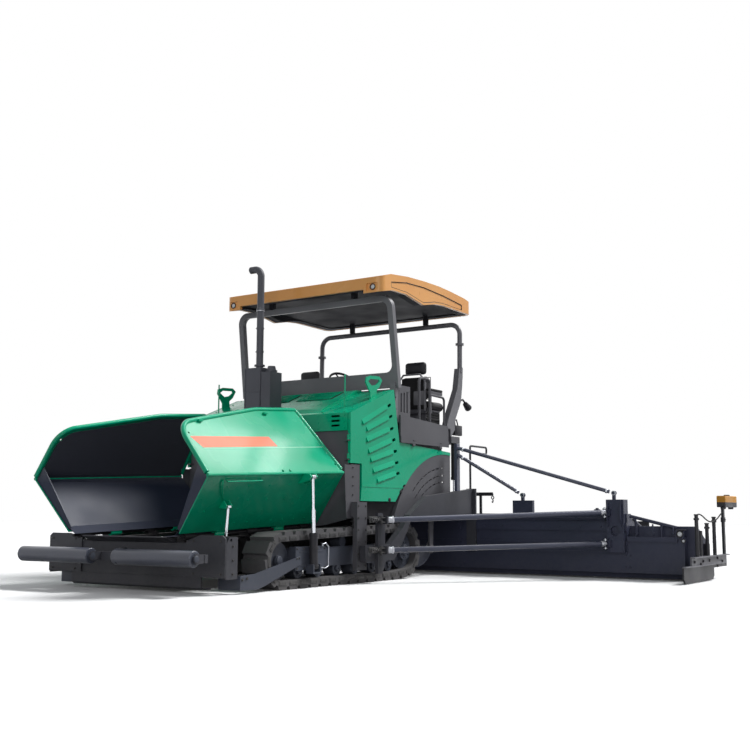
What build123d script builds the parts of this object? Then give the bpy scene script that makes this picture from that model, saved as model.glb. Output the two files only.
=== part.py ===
from build123d import *
import math
import os

# Tracked asphalt paver with a wide bolted screed, in millimetres.
# X points to the machine's left, -Y to the hopper in front, Z up from the ground.
# Y is written from the door pillar line; the export moves the origin to mid length.

# Overall
HALF_WIDTH = 1275
FRONT_END = -3135
REAR_END = 3700
STACK_TOP = 3950
PLATE = 12
RUN_GAP = 0.3
EAR = 16
EAR_GAP = 9
FOOT_PIN = 14

# Tracks
SHOE_WIDTH = 320
SHOE_COUNT = 36
PAD_HEIGHT = 35
PAD_SHARE = 0.80
CHAIN_DEPTH = 65
# Wheels inside the chain: y, z, radius
IDLER = (-1760, 300, 200)
SPROCKET = (690, 350, 225)
REAR_ROLLER = (400, 180, 80)
ROLLER_COUNT = 6
FIRST_ROLLER_Y = -1390
CARRIER_Y = -560
CARRIER_RADIUS = 60
TRACK_OUT = HALF_WIDTH
TRACK_IN = HALF_WIDTH - SHOE_WIDTH
TRACK_MID = (TRACK_IN + TRACK_OUT) / 2

# Hopper wings, folded up
HINGE_X = 765
HINGE_FRONT = (-2770, 555)
HINGE_REAR = (-610, 648)
HINGE_TILT = math.degrees(math.atan2(HINGE_REAR[1] - HINGE_FRONT[1], HINGE_REAR[0] - HINGE_FRONT[0]))
FLOOR_ANGLE = 51
FLOOR_WIDTH = 783
SIDE_ANGLE = 128
SIDE_FRONT_HEIGHT = 650
SIDE_REAR_HEIGHT = 930
WING_LENGTH = 2262
WING_OVERHANG = 130
# Ends of the lower panel along the hinge, at the hinge and at the knee
PANEL_FRONT = (-45, -WING_OVERHANG)
PANEL_REAR = (2235, WING_LENGTH - WING_OVERHANG)
# Drain holes in the side panel: along, up
WING_HOLES = ((75, 526), (2195, 113))
# Width of the plate on the wing's front edge, at the hinge and at the knee
FRONT_PLATE = (50, 175)
WING_CORNER = 240
RIM_RADIUS = 26
LINER = 10
KNUCKLE_RADIUS = 32
PIN_RADIUS = 16
KNUCKLE_LENGTH = 150

# Hopper cylinders, one long telescopic at the rear and a short one in front
# y at the hinge line; foot and eye as offsets from the hinge, outwards and up
REAR_CYL = dict(y=-1320, foot=(570, -397), eye=(570, 568), barrel=360, barrel_r=44,
                stage=350, stage_r=27, rod_r=18, stage_start=260)
FRONT_CYL = dict(y=-2420, foot=(255, -320), eye=(329, 287), barrel=310, barrel_r=30, rod_r=16)

# Front beam and push rollers
BEAM = dict(front=-2655, back=-2520, bottom=150, top=520)
BEAM_HALF = 1280
CHEEK = 25
# Lashing hole in each cheek: y, z, radius
LASH = (-2590, 530)
LASH_R = 16
ROLLER_Y = -3055
ROLLER_Z = 361
ROLLER_R = 80
ROLLER_IN = 178
ROLLER_OUT = 1238
YOKE_PIVOT_Y = -2800
YOKE_PIN_R = 30

# Chassis and body
KEEL_HALF = 620
KEEL_BOTTOM = 170
DECK_BOTTOM = 730
DECK_TOP = 1050
DECK_HALF = 1200
DECK_FRONT = -440
DECK_REAR = 1800
BODY_SIDE = DECK_HALF + 25
WALL_Y = -500
HOOD_FRONT = -530
HOOD_REAR = 440
HOOD_LOW = 1958
HOOD_HIGH = 2312
HOOD_BASE = 1750
DOOR_OUT = DECK_HALF + 70
DOOR_IN = DECK_HALF + 35
DOOR_PIN = (DECK_HALF + 50, -552)
DOOR_HINGES = (1420, 1640)

# Platform and roof
PLATFORM_FRONT = 560
PLATFORM_REAR = 1830
PLATFORM_HALF = DECK_HALF + 70
BODY_HALF = DECK_HALF - 55
RAIL_X = DECK_HALF - 5
PLATFORM_LOW = 1710
PLATFORM_FLOOR = 1930
PLATFORM_TOP = 2000
ROOF_HALF = 1256
ROOF_FRONT = 116
ROOF_REAR = 2478
# Side view of the roof shell, y and z, along the top and back along the bottom edge
ROOF_TOP = [(ROOF_FRONT, 3700), (354, 3767), (757, 3808), (1180, 3825), (1551, 3828), (1859, 3814), (2259, 3785),
            (ROOF_REAR, 3747)]
ROOF_EDGE = [(ROOF_REAR, 3578), (1673, 3585), (1445, 3566), (1152, 3505), (1009, 3529), (730, 3573), (395, 3568),
             (ROOF_FRONT, 3505)]
# Recessed panel in the roof's side
ROOF_PANEL = [(362, 3600), (362, 3669), (731, 3727), (1153, 3742), (1674, 3721), (2187, 3679), (2187, 3606),
              (1673, 3612), (1445, 3594), (1152, 3534), (1009, 3556), (730, 3600)]
ROOF_CEILING = 3600
ROOF_WALL = 40
FASCIA_LOW = 3556
LAMP_BAY = (1045, 1215, 3530, 3628)

# Fender arch, circle in the side view
ARCH_Y = 1688
ARCH_Z = 202.5
ARCH_R = 1367.5

# Augers
AUGER_Y = 1270
AUGER_Z = 352
AUGER_R = 238
AUGER_SHAFT = 38
AUGER_IN = 110
AUGER_OUT = DECK_HALF + 55
AUGER_PITCH = 380
# Width of the flight where a cut across the shaft meets it
FLIGHT = 34
AUGER_CASE = 85
AUGER_SHIELD = DECK_HALF + 72

# Screed
TOW_Y = -380
TOW_Z = 340
ARM_IN = DECK_HALF + 160
ARM_OUT = ARM_IN + 80
SCREED_FRONT = 2150
SCREED_DEPTH = 560
SCREED_CLEAR = 20
MAIN_HALF = 1250
OUTER_EXT = 4380
INNER_EXT = OUTER_EXT - 810
MAIN_TOP = 800
# Step in the outer extension's top: front height, rear height, depth of the front part
OUTER_TOP = (520, 650, 100)
OUTER_FRONT = OUTER_EXT - 105
END_PLATE_X = OUTER_EXT + 60
END_PLATE_T = 20
# Bolt holes in the end plate: centre, spacings and radius
BOLTS = dict(y=3120, z=225, dy=160, dz=100, r=7)
BRACE_R = 32
TIE_R = 24
BRACE_Y = -185
# Front and rear heights of the brace tubes
BRACE_LOW = (430, 375)
BRACE_HIGH = (815, 720)
BRACKET_X = INNER_EXT - 245
BRACE_END = BRACKET_X + 25
# Eyes of the tie rods: x, height
TIE_EYES = ((INNER_EXT - 170, 1057), (INNER_EXT - 1420, 1041))
EYE_R = 22
MAST_Y = 1740
MAST_TOP = 1715

# Lift cylinders
LIFT = dict(x=DECK_HALF + 22, top=(2000, 1780), eye=(2000, 905), barrel=530, barrel_r=42, rod_r=22)

parts = {}


def block(x0, x1, y0, y1, z0, z1):
    centre = Pos((x0 + x1) / 2, (y0 + y1) / 2, (z0 + z1) / 2)
    return centre * Box(x1 - x0, y1 - y0, z1 - z0)


def side_plate(points, x0, x1):
    # Outline in the side view, y and z, given width along X.
    face = make_face(Polyline(*points, close=True))
    return extrude(Plane.YZ.offset(x0) * face, amount=x1 - x0)


def front_plate(points, y0, y1):
    # Outline in the front view, x and z, given depth along Y.
    face = make_face(Polyline(*points, close=True))
    plane = Plane(origin=(0, y1, 0), x_dir=(1, 0, 0), z_dir=(0, -1, 0))
    return extrude(plane * face, amount=y1 - y0)


def floor_plate(points, z0, z1):
    face = make_face(Polyline(*points, close=True))
    return extrude(Plane.XY.offset(z0) * face, amount=z1 - z0)


def bar(start, end, radius):
    a = Vector(*start)
    b = Vector(*end)
    plane = Plane(origin=a, z_dir=b - a)
    align = (Align.CENTER, Align.CENTER, Align.MIN)
    return plane * Cylinder(radius, (b - a).length, align=align)


def cut_bar(start, end, radius, cut_start, cut_end):
    # Bar that stops short of both end points.
    a = Vector(*start)
    b = Vector(*end)
    d = (b - a).normalized()
    return bar(a + d * cut_start, b - d * cut_end, radius)


def cross_bar(x0, x1, y, z, radius):
    return bar((x0, y, z), (x1, y, z), radius)


def mirrored(shape):
    return mirror(shape, Plane.YZ)


def both_sides(shape):
    return shape + mirrored(shape)


def pipe(points, bend, radius):
    path = FilletPolyline(*points, radius=bend)
    section = Plane(origin=path @ 0, z_dir=path % 0) * Circle(radius)
    return sweep(section, path=path)


def add_pair(name, left):
    parts[name + "_left"] = left
    parts[name + "_right"] = mirrored(left)


# Hinge line of the hopper wings
HINGE_AXIS = Vector(0, math.cos(math.radians(HINGE_TILT)), math.sin(math.radians(HINGE_TILT)))
HINGE_UP = Vector(0, -HINGE_AXIS.Z, HINGE_AXIS.Y)


def hinge_point(y):
    z = HINGE_FRONT[1] + (y - HINGE_FRONT[0]) * math.tan(math.radians(HINGE_TILT))
    return Vector(HINGE_X, y, z)


def from_hinge(y, out, up):
    # Point in the plane across the hinge line at y.
    return hinge_point(y) + Vector(out, 0, 0) + HINGE_UP * up


def foot_bracket(cyl, length):
    # Two ears and a pin at a cylinder's foot, with a sole plate under them.
    foot = from_hinge(cyl["y"], *cyl["foot"])
    ear = cyl["barrel_r"] + EAR_GAP
    r = cyl["barrel_r"]
    shape = block(foot.X - length, foot.X + r, foot.Y - ear - EAR, foot.Y + ear + EAR, foot.Z - r - 22, foot.Z - r - 6)
    for y0 in (foot.Y - ear - EAR, foot.Y + ear):
        shape += block(foot.X - length, foot.X + r, y0, y0 + EAR, foot.Z - r - 6, foot.Z + 32)
    return shape + bar(foot - HINGE_AXIS * (ear + 8), foot + HINGE_AXIS * (ear + 8), FOOT_PIN)


# Track loops
def tangent(first, second):
    # Common outer tangent of two wheels, walking round them clockwise in the side view.
    dy = second[0] - first[0]
    dz = second[1] - first[1]
    span = math.hypot(dy, dz)
    heading = math.atan2(dz, dy)
    return heading + math.acos((first[2] - second[2]) / span)


def belt(wheels, offset):
    # Closed belt round the wheels as runs of line and arc, each with its length.
    count = len(wheels)
    leave = [tangent(wheels[i], wheels[(i + 1) % count]) for i in range(count)]
    runs = []
    for i in range(count):
        y, z, r = wheels[i]
        start = leave[i - 1]
        turn = (start - leave[i]) % (2 * math.pi)
        runs.append(("arc", (y, z, r + offset, start, turn), (r + offset) * turn))
        y2, z2, r2 = wheels[(i + 1) % count]
        a = leave[i]
        p = (y + (r + offset) * math.cos(a), z + (r + offset) * math.sin(a))
        q = (y2 + (r2 + offset) * math.cos(a), z2 + (r2 + offset) * math.sin(a))
        runs.append(("line", (p, q, a), math.dist(p, q)))
    return runs


def on_belt(runs, along, height):
    # Point at a distance along the belt and a height above it.
    along = along % sum(run[2] for run in runs)
    for kind, data, length in runs:
        if along <= length:
            break
        along -= length
    if kind == "arc":
        y, z, r, start, turn = data
        a = start - turn * along / length
        return (y + (r + height) * math.cos(a), z + (r + height) * math.sin(a))
    p, q, a = data
    t = along / length
    y = p[0] + (q[0] - p[0]) * t + height * math.cos(a)
    z = p[1] + (q[1] - p[1]) * t + height * math.sin(a)
    return (y, z)


def belt_face(runs):
    edges = []
    for kind, data, length in runs:
        if kind == "line":
            edges.append(Line(data[0], data[1]))
        else:
            y, z, r, a, turn = data
            mid = (y + r * math.cos(a - turn / 2), z + r * math.sin(a - turn / 2))
            end = (y + r * math.cos(a - turn), z + r * math.sin(a - turn))
            start = (y + r * math.cos(a), z + r * math.sin(a))
            edges.append(ThreePointArc(start, mid, end))
    return make_face(edges)


WHEELS = [IDLER, SPROCKET, REAR_ROLLER]


def track():
    # One closed loop: link plates inside, a raised pad on every shoe outside.
    runs = belt(WHEELS, CHAIN_DEPTH)
    pitch = sum(run[2] for run in runs) / SHOE_COUNT
    outline = []
    for i in range(SHOE_COUNT):
        # columns: place along the shoe as a share of the pitch, height
        for share, height in [(-0.5, 0), (-PAD_SHARE / 2, 0), (-PAD_SHARE / 2 + 0.07, PAD_HEIGHT),
                              (PAD_SHARE / 2 - 0.07, PAD_HEIGHT), (PAD_SHARE / 2, 0)]:
            outline.append(on_belt(runs, (i + share) * pitch, height))
    outer = make_face(Polyline(*outline, close=True))
    inner = belt_face(belt(WHEELS, 0))
    return extrude(Plane.YZ.offset(TRACK_IN) * (outer - inner), amount=SHOE_WIDTH)


def track_frame():
    y, z, r = IDLER
    wheel = TRACK_MID - 70, TRACK_MID + 70
    frame = side_plate([(-1560, 230), (-1560, 420), (520, 430), (520, 260), (300, 215), (-1400, 215)],
                       TRACK_MID - 90, TRACK_MID + 90)
    frame += cross_bar(wheel[0], wheel[1], y, z, r - RUN_GAP)
    frame += block(TRACK_MID - 30, TRACK_MID + 30, y, -1500, z - 40, z + 40)
    frame += cross_bar(wheel[0] - 30, wheel[1] + 30, y, z, 60)
    y, z, r = SPROCKET
    frame += cross_bar(wheel[0], wheel[1], y, z, r - RUN_GAP)
    frame += cross_bar(wheel[0] - 40, wheel[1] + 60, y, z, 120)
    frame += cross_bar(KEEL_HALF + PLATE, TRACK_MID, y, z, 90)
    last = REAR_ROLLER[0]
    step = (last - FIRST_ROLLER_Y) / (ROLLER_COUNT - 1)
    for i in range(ROLLER_COUNT):
        frame += cross_bar(wheel[0], wheel[1], FIRST_ROLLER_Y + i * step, REAR_ROLLER[1],
                           REAR_ROLLER[2] - RUN_GAP)
    # Carrier roller under the top run
    slope = (SPROCKET[1] + SPROCKET[2] - IDLER[1] - IDLER[2]) / (SPROCKET[0] - IDLER[0])
    run_z = IDLER[1] + IDLER[2] + slope * (CARRIER_Y - IDLER[0])
    frame += cross_bar(wheel[0], wheel[1], CARRIER_Y, run_z - CARRIER_RADIUS - 1.5, CARRIER_RADIUS)
    frame += block(TRACK_MID - 30, TRACK_MID + 30, CARRIER_Y - 30, CARRIER_Y + 30, 400, run_z - 60)
    # Mounts to the keel and the side cover over the track tensioner
    for y0 in (-1150, 150):
        frame += block(KEEL_HALF + PLATE, TRACK_MID, y0, y0 + 160, 260, 400)
    frame += block(TRACK_MID + 80, TRACK_OUT + 8, -1560, -1020, 190, 440)
    # Scraper plate in front of the track on an arm outside the shoes
    frame += side_plate([(-2470, 35), (-2470, 180), (-2240, 190), (-1500, 340), (-1480, 260), (-2100, 60),
                         (-2200, 35)], TRACK_OUT + 8, TRACK_OUT + 28)
    frame += block(TRACK_IN + 60, TRACK_OUT + 8, -2470, -2445, 35, 180)
    # Foot of the rear hopper cylinder
    return frame + foot_bracket(REAR_CYL, HINGE_X + REAR_CYL["foot"][0] - TRACK_OUT - 8)


add_pair("track", track())
add_pair("track_frame", track_frame())


KNUCKLES = (-2640, -1690, -760)


# Chassis
def chassis():
    front = BEAM["back"] + RUN_GAP
    keel = side_plate([(front, KEEL_BOTTOM), (front, 500), (-520, 530), (DECK_FRONT, 530), (DECK_FRONT, DECK_TOP),
                       (DECK_REAR, DECK_TOP), (DECK_REAR, DECK_BOTTOM), (1000, DECK_BOTTOM), (1000, KEEL_BOTTOM)],
                      KEEL_HALF, KEEL_HALF + PLATE)
    frame = both_sides(keel)
    frame += block(-KEEL_HALF, KEEL_HALF, front, 950, KEEL_BOTTOM, KEEL_BOTTOM + PLATE)
    frame += block(-DECK_HALF, DECK_HALF, DECK_FRONT, DECK_REAR, DECK_TOP - PLATE, DECK_TOP)
    deck_side = side_plate([(DECK_FRONT, DECK_BOTTOM), (DECK_FRONT, DECK_TOP), (DECK_REAR, DECK_TOP),
                            (DECK_REAR, DECK_BOTTOM)], DECK_HALF - PLATE, DECK_HALF)
    frame += both_sides(deck_side)
    frame += both_sides(block(KEEL_HALF, DECK_HALF, DECK_FRONT, DECK_REAR, DECK_BOTTOM, DECK_BOTTOM + PLATE))
    # Fixed hopper floor beside the conveyor, with the hinge lugs and pin
    strip = side_plate([(HINGE_FRONT[0] + 100, 500), (HINGE_FRONT[0] + 100, 515), (WALL_Y - 20, 608),
                        (WALL_Y - 20, 593)], KEEL_HALF, HINGE_X - KNUCKLE_RADIUS)
    frame += both_sides(strip)
    pin = bar(hinge_point(KNUCKLES[0] - KNUCKLE_LENGTH), hinge_point(KNUCKLES[2] + KNUCKLE_LENGTH * 0.6),
              PIN_RADIUS)
    for y in KNUCKLES:
        half = KNUCKLE_LENGTH / 2
        lug = bar(hinge_point(y - half), hinge_point(y + half), KNUCKLE_RADIUS)
        top = hinge_point(y).Z
        low = 250 if y > BEAM["back"] else BEAM["top"] - 18
        web = front_plate([(KEEL_HALF, low), (KEEL_HALF, top - 15), (HINGE_X, top - 15), (HINGE_X, top - 30)],
                          y - 20, y + 20)
        pin += lug + web
    frame += both_sides(pin)
    return frame


parts["chassis"] = chassis()


# Conveyor with its slats
def conveyor():
    pan = side_plate([(-2515, 440), (-2515, 460), (920, 460), (990, 420), (980, 405), (915, 440)],
                     -KEEL_HALF + RUN_GAP, KEEL_HALF - RUN_GAP)
    slats = block(-20, 20, -2510, 900, 460, 520)
    for i in range(17):
        y = -2500 + i * 205
        for side in (-1, 1):
            x0, x1 = sorted((side * 20, side * (KEEL_HALF - 30)))
            slats += block(x0, x1, y, y + 35, 460, 482)
    for side in (-1, 1):
        for x in (90, KEEL_HALF - 110):
            slats += block(side * x - 25, side * x + 25, -2510, 900, 460, 490)
    return pan + slats


parts["conveyor"] = conveyor()


# Front beam
def front_beam():
    b = BEAM
    beam = block(-BEAM_HALF + 20, BEAM_HALF - 20, b["front"], b["back"], b["bottom"] + 90, b["top"] - 20)
    low = side_plate([(b["front"], b["bottom"] + 20), (b["front"], b["bottom"] + 90), (b["back"], b["bottom"] + 90),
                      (b["back"], b["bottom"])], -BEAM_HALF + 150, BEAM_HALF - 150)
    cheek = side_plate([(b["front"] - 5, b["bottom"]), (b["front"] - 5, b["top"] - 30), (b["front"] + 40, 560),
                        (b["back"] + 30, 560), (b["back"] + 30, b["bottom"])], BEAM_HALF - CHEEK, BEAM_HALF)
    # Lashing hole above the beam
    cheek -= cross_bar(BEAM_HALF - CHEEK - 5, BEAM_HALF + 5, LASH[0], LASH[1], LASH_R)
    beam += low + both_sides(cheek)
    # Raised end plates in front of the hopper, and the belly plate under the beam
    horn = front_plate([(HINGE_X, b["bottom"] + 18), (HINGE_X, 520), (950, 576), (1235, 576), (BEAM_HALF - 2, 545),
                        (BEAM_HALF - 2, b["bottom"] + 18)], b["front"] - 17, b["front"] + 1)
    belly = side_plate([(-2642, 225), (-2642, 60), (-2610, 36), (-2490, 36), (-2490, 50), (-2604, 50), (-2628, 68),
                        (-2628, 225)], -940, 940)
    beam += both_sides(horn) + belly
    beam += side_plate([(-2540, 490), (-2540, 512), (-2640, 512), (-2790, 560), (-2800, 548), (-2645, 490)],
                       -KEEL_HALF + 5, KEEL_HALF - 5)
    # Feet of the front hopper cylinders behind the beam
    foot = from_hinge(FRONT_CYL["y"], *FRONT_CYL["foot"])
    shelf = block(foot.X - 30, foot.X + 30, b["back"] - 5, foot.Y, foot.Z - 60, foot.Z - 40)
    beam += both_sides(foot_bracket(FRONT_CYL, 30) + shelf)
    # Fork that carries the yoke pin
    for z in (ROLLER_Z - 55, ROLLER_Z + 35):
        beam += block(-110, 110, YOKE_PIVOT_Y - 50, b["front"], z, z + 20)
    beam += bar((0, YOKE_PIVOT_Y, ROLLER_Z - 65), (0, YOKE_PIVOT_Y, ROLLER_Z + 65), YOKE_PIN_R)
    return beam


parts["front_beam"] = front_beam()


# Push rollers on their swinging yoke
def push_yoke():
    y, z = YOKE_PIVOT_Y, ROLLER_Z
    tongue = block(-70, 70, y - 45, y + 45, z - 29, z + 29)
    tongue -= bar((0, y, z - 45), (0, y, z + 45), YOKE_PIN_R + RUN_GAP)
    neck = block(-70, 70, y - 110, y - 44, z - 29, z + 29)
    rear = y - 145
    beam = block(-ROLLER_OUT - 25, ROLLER_OUT + 25, rear, y - 100, z - 40, z + 40)
    yoke = tongue + neck + beam
    arm = side_plate([(rear, z - 40), (ROLLER_Y, z - 50), (ROLLER_Y - 35, z - 25), (ROLLER_Y - 35, z + 25),
                      (ROLLER_Y, z + 50), (rear, z + 40)], 0, 12)
    for x in (ROLLER_OUT + 9, ROLLER_IN - 21):
        yoke += both_sides(Pos(x, 0, 0) * arm)
    return yoke


def push_roller():
    drum = cross_bar(ROLLER_IN, ROLLER_OUT, ROLLER_Y, ROLLER_Z, ROLLER_R)
    drum = fillet(drum.edges().filter_by(GeomType.CIRCLE), 12)
    return drum + cross_bar(ROLLER_IN - 9 + RUN_GAP, ROLLER_OUT + 9 - RUN_GAP, ROLLER_Y, ROLLER_Z, 30)


parts["push_yoke"] = push_yoke()
add_pair("push_roller", push_roller())


# Hopper wings, drawn in a frame that lies along the hinge
WING = Plane(origin=(HINGE_X, HINGE_FRONT[0], HINGE_FRONT[1]), x_dir=(1, 0, 0),
             z_dir=(0, -math.cos(math.radians(HINGE_TILT)), -math.sin(math.radians(HINGE_TILT))))


def along_wing(section, start, end):
    # Section in the wing's front view, extruded rearwards from start to end.
    return WING * extrude(Pos(0, 0, -start) * section, amount=start - end)


def ray(angle, length, origin=(0, 0)):
    a = math.radians(angle)
    return (origin[0] + length * math.cos(a), origin[1] + length * math.sin(a))


KNEE = ray(FLOOR_ANGLE, FLOOR_WIDTH)
KNEE_POINT = WING.from_local_coords((KNEE[0], KNEE[1], WING_OVERHANG))


def strip_section(angle, start, end, offset, thick, origin=(0, 0)):
    # Flat strip in the section; offset counts towards the inside of the hopper.
    inside = angle + 90
    a = ray(inside, offset, ray(angle, start, origin))
    b = ray(inside, offset, ray(angle, end, origin))
    c = ray(inside, offset + thick, ray(angle, end, origin))
    d = ray(inside, offset + thick, ray(angle, start, origin))
    return make_face(Polyline(a, b, c, d, close=True))


def side_panel(offset, thick, margin, knee_margin):
    # Upper side plate: its top rises to the rear and its front corner is round.
    side_dir = Vector(math.cos(math.radians(SIDE_ANGLE)), 0, math.sin(math.radians(SIDE_ANGLE)))
    inward = HINGE_AXIS.cross(side_dir).normalized()
    if inward.X > 0:
        inward = inward * -1
    plane = Plane(origin=KNEE_POINT + inward * offset, x_dir=HINGE_AXIS, z_dir=inward)
    up = plane.y_dir.Z
    flip = 1 if up > 0 else -1
    m = margin
    k = knee_margin
    corners = [(m, k), (WING_LENGTH - m, k), (WING_LENGTH - 150 - m, SIDE_REAR_HEIGHT - m),
               (WING_LENGTH - 900, SIDE_REAR_HEIGHT - 30 - m), (m, SIDE_FRONT_HEIGHT - m)]
    face = make_face(Polyline(*[(a, b * flip) for a, b in corners], close=True))
    front_top = [v for v in face.vertices() if abs(v.X - m) < 1 and abs(v.Y) > SIDE_FRONT_HEIGHT / 2]
    face = fillet(front_top, WING_CORNER)
    return extrude(plane * face, amount=thick), plane, flip


# Direction across the lower panel towards the inside of the hopper
PANEL_IN = Vector(ray(FLOOR_ANGLE + 90, 1)[0], 0, 0) + HINGE_UP * ray(FLOOR_ANGLE + 90, 1)[1]
PANEL_UP = Vector(ray(FLOOR_ANGLE, 1)[0], 0, 0) + HINGE_UP * ray(FLOOR_ANGLE, 1)[1]


def panel_edge(edge, up):
    # Place along the hinge of a slanted panel end at a height up the panel.
    return edge[0] + (edge[1] - edge[0]) * up / FLOOR_WIDTH


def floor_panel(offset, thick, margin, low, high):
    # Lower plate of a wing; both its ends lean forward towards the knee.
    plane = Plane(origin=hinge_point(HINGE_FRONT[0]) + PANEL_IN * offset, x_dir=HINGE_AXIS, z_dir=PANEL_IN)
    corners = [(panel_edge(PANEL_FRONT, low) + margin, -low), (panel_edge(PANEL_REAR, low) - margin, -low),
               (panel_edge(PANEL_REAR, high) - margin, -high), (panel_edge(PANEL_FRONT, high) + margin, -high)]
    return extrude(plane * make_face(Polyline(*corners, close=True)), amount=thick)


def wing_holes(solid, plane, flip):
    for a, b in WING_HOLES:
        centre = plane.from_local_coords((a, b * flip, 0))
        solid -= bar(centre - plane.z_dir * 40, centre + plane.z_dir * 40, 13)
    return solid


def wing():
    side, plane, flip = side_panel(-PLATE, PLATE, 0, 0)
    body = floor_panel(-PLATE, PLATE, 0, 55, FLOOR_WIDTH) + wing_holes(side, plane, flip)
    # Rolled rim along the front, top and rear edges
    local = [(0, 30), (0, SIDE_FRONT_HEIGHT), (WING_LENGTH - 900, SIDE_REAR_HEIGHT - 30),
             (WING_LENGTH - 150, SIDE_REAR_HEIGHT), (WING_LENGTH - 10, 40)]
    points = [plane.from_local_coords((a, b * flip, PLATE / 2)) for a, b in local]
    path = FilletPolyline(*points, radius=[WING_CORNER, 900, 40])
    rim = sweep(Plane(origin=path @ 0, z_dir=path % 0) * Circle(RIM_RADIUS), path=path)
    body += rim
    # Bead along the knee
    body += bar(KNEE_POINT - HINGE_AXIS * 3, KNEE_POINT + HINGE_AXIS * (WING_LENGTH + 3), 18)
    # Hinge knuckles between the fixed lugs
    for y in (-2200, -1230):
        a = hinge_point(y - KNUCKLE_LENGTH / 2)
        b = hinge_point(y + KNUCKLE_LENGTH / 2)
        body += bar(a, b, KNUCKLE_RADIUS)
        s = (y - HINGE_FRONT[0]) / math.cos(math.radians(HINGE_TILT))
        web = strip_section(FLOOR_ANGLE, 10, 70, -PLATE, PLATE)
        body += along_wing(web, s - KNUCKLE_LENGTH / 2, s + KNUCKLE_LENGTH / 2)
    body -= bar(hinge_point(-2500), hinge_point(-900), PIN_RADIUS + RUN_GAP)
    # Ears for both cylinders, in planes across the hinge
    out, up = REAR_CYL["eye"]
    ear = [(KNEE[0] - 78, KNEE[1] - 115), (out + 5, up - 35), (out + 28, up), (out + 5, up + 35), (KNEE[0] + 4, KNEE[1])]
    body += wing_ears(REAR_CYL, ear, 40, 22)
    out, up = FRONT_CYL["eye"]
    ear = [ray(FLOOR_ANGLE, 470, (4, -3)), (out + 18, up + 10), (out, up - 20), ray(FLOOR_ANGLE, 360, (4, -3))]
    return body + wing_ears(FRONT_CYL, ear, 30, 15)


def wing_ears(cyl, outline, gap, thick):
    along = (cyl["y"] - HINGE_FRONT[0]) / HINGE_AXIS.Y
    face = make_face(Polyline(*outline, close=True))
    return along_wing(face, along - gap - thick, along - gap) + along_wing(face, along + gap, along + gap + thick)


def wing_liner():
    knee_gap = 22
    low, high = 75, FLOOR_WIDTH - knee_gap
    floor = floor_panel(0, LINER, 10, low, high)
    side, plane, flip = side_panel(0, LINER, 45, knee_gap)
    # Plate that stands on the lower panel's front edge
    a = hinge_point(HINGE_FRONT[0]) + HINGE_AXIS * (panel_edge(PANEL_FRONT, low) + 10) + PANEL_UP * low
    b = hinge_point(HINGE_FRONT[0]) + HINGE_AXIS * (panel_edge(PANEL_FRONT, high) + 10) + PANEL_UP * high
    up = (b - a).normalized()
    stand = Plane(origin=a, x_dir=up, z_dir=up.cross(PANEL_IN))
    reach = (b - a).length
    outline = [(0, 0), (reach, 0), (reach + 36, FRONT_PLATE[1]), (0, FRONT_PLATE[0])]
    edge_plate = extrude(stand * make_face(Polyline(*outline, close=True)), amount=-PLATE)
    return floor + edge_plate + wing_holes(side, plane, flip)


add_pair("hopper_wing", wing())
add_pair("hopper_liner", wing_liner())


# Cylinders: the barrel swings at its foot, the stage and the rod slide out of it
def tube_along(foot, eye, start, end, radius):
    a = Vector(*foot)
    d = (Vector(*eye) - a).normalized()
    return bar(a + d * start, a + d * end, radius)


def barrel_piece(foot, eye, across, length, radius, inner_r, boss_r):
    barrel = tube_along(foot, eye, 8, length, radius)
    barrel += bar(foot - across * (radius + 1), foot + across * (radius + 1), boss_r)
    barrel -= bar(foot - across * 60, foot + across * 60, FOOT_PIN + RUN_GAP)
    return barrel - tube_along(foot, eye, boss_r + 3, length + 5, inner_r + RUN_GAP)


def rod_piece(foot, eye, across, start, radius, eye_r, half):
    reach = (eye - foot).length
    rod = tube_along(foot, eye, start, reach - eye_r * 0.8, radius)
    rod += bar(eye - across * half, eye + across * half, eye_r)
    return rod - bar(eye - across * 60, eye + across * 60, eye_r * 0.55)


def rear_cylinder():
    c = REAR_CYL
    foot = from_hinge(c["y"], *c["foot"])
    eye = from_hinge(c["y"], *c["eye"])
    barrel = barrel_piece(foot, eye, HINGE_AXIS, c["barrel"], c["barrel_r"], c["stage_r"], 33)
    stage_end = c["stage_start"] + c["stage"]
    stage = tube_along(foot, eye, c["stage_start"], stage_end, c["stage_r"])
    stage -= tube_along(foot, eye, c["stage_start"] + 10, stage_end + 5, c["rod_r"] + RUN_GAP)
    rod = rod_piece(foot, eye, HINGE_AXIS, stage_end - 40, c["rod_r"], 26, 32)
    return barrel, stage, rod


barrel, stage, rod = rear_cylinder()
add_pair("hopper_barrel", barrel)
add_pair("hopper_stage", stage)
add_pair("hopper_rod", rod)


def front_cylinder():
    c = FRONT_CYL
    foot = from_hinge(c["y"], *c["foot"])
    eye = from_hinge(c["y"], *c["eye"])
    barrel = barrel_piece(foot, eye, HINGE_AXIS, c["barrel"], c["barrel_r"], c["rod_r"], 26)
    return barrel, rod_piece(foot, eye, HINGE_AXIS, c["barrel"] - 40, c["rod_r"], 20, 24)


barrel, rod = front_cylinder()
add_pair("strut_barrel", barrel)
add_pair("strut_rod", rod)


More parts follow.
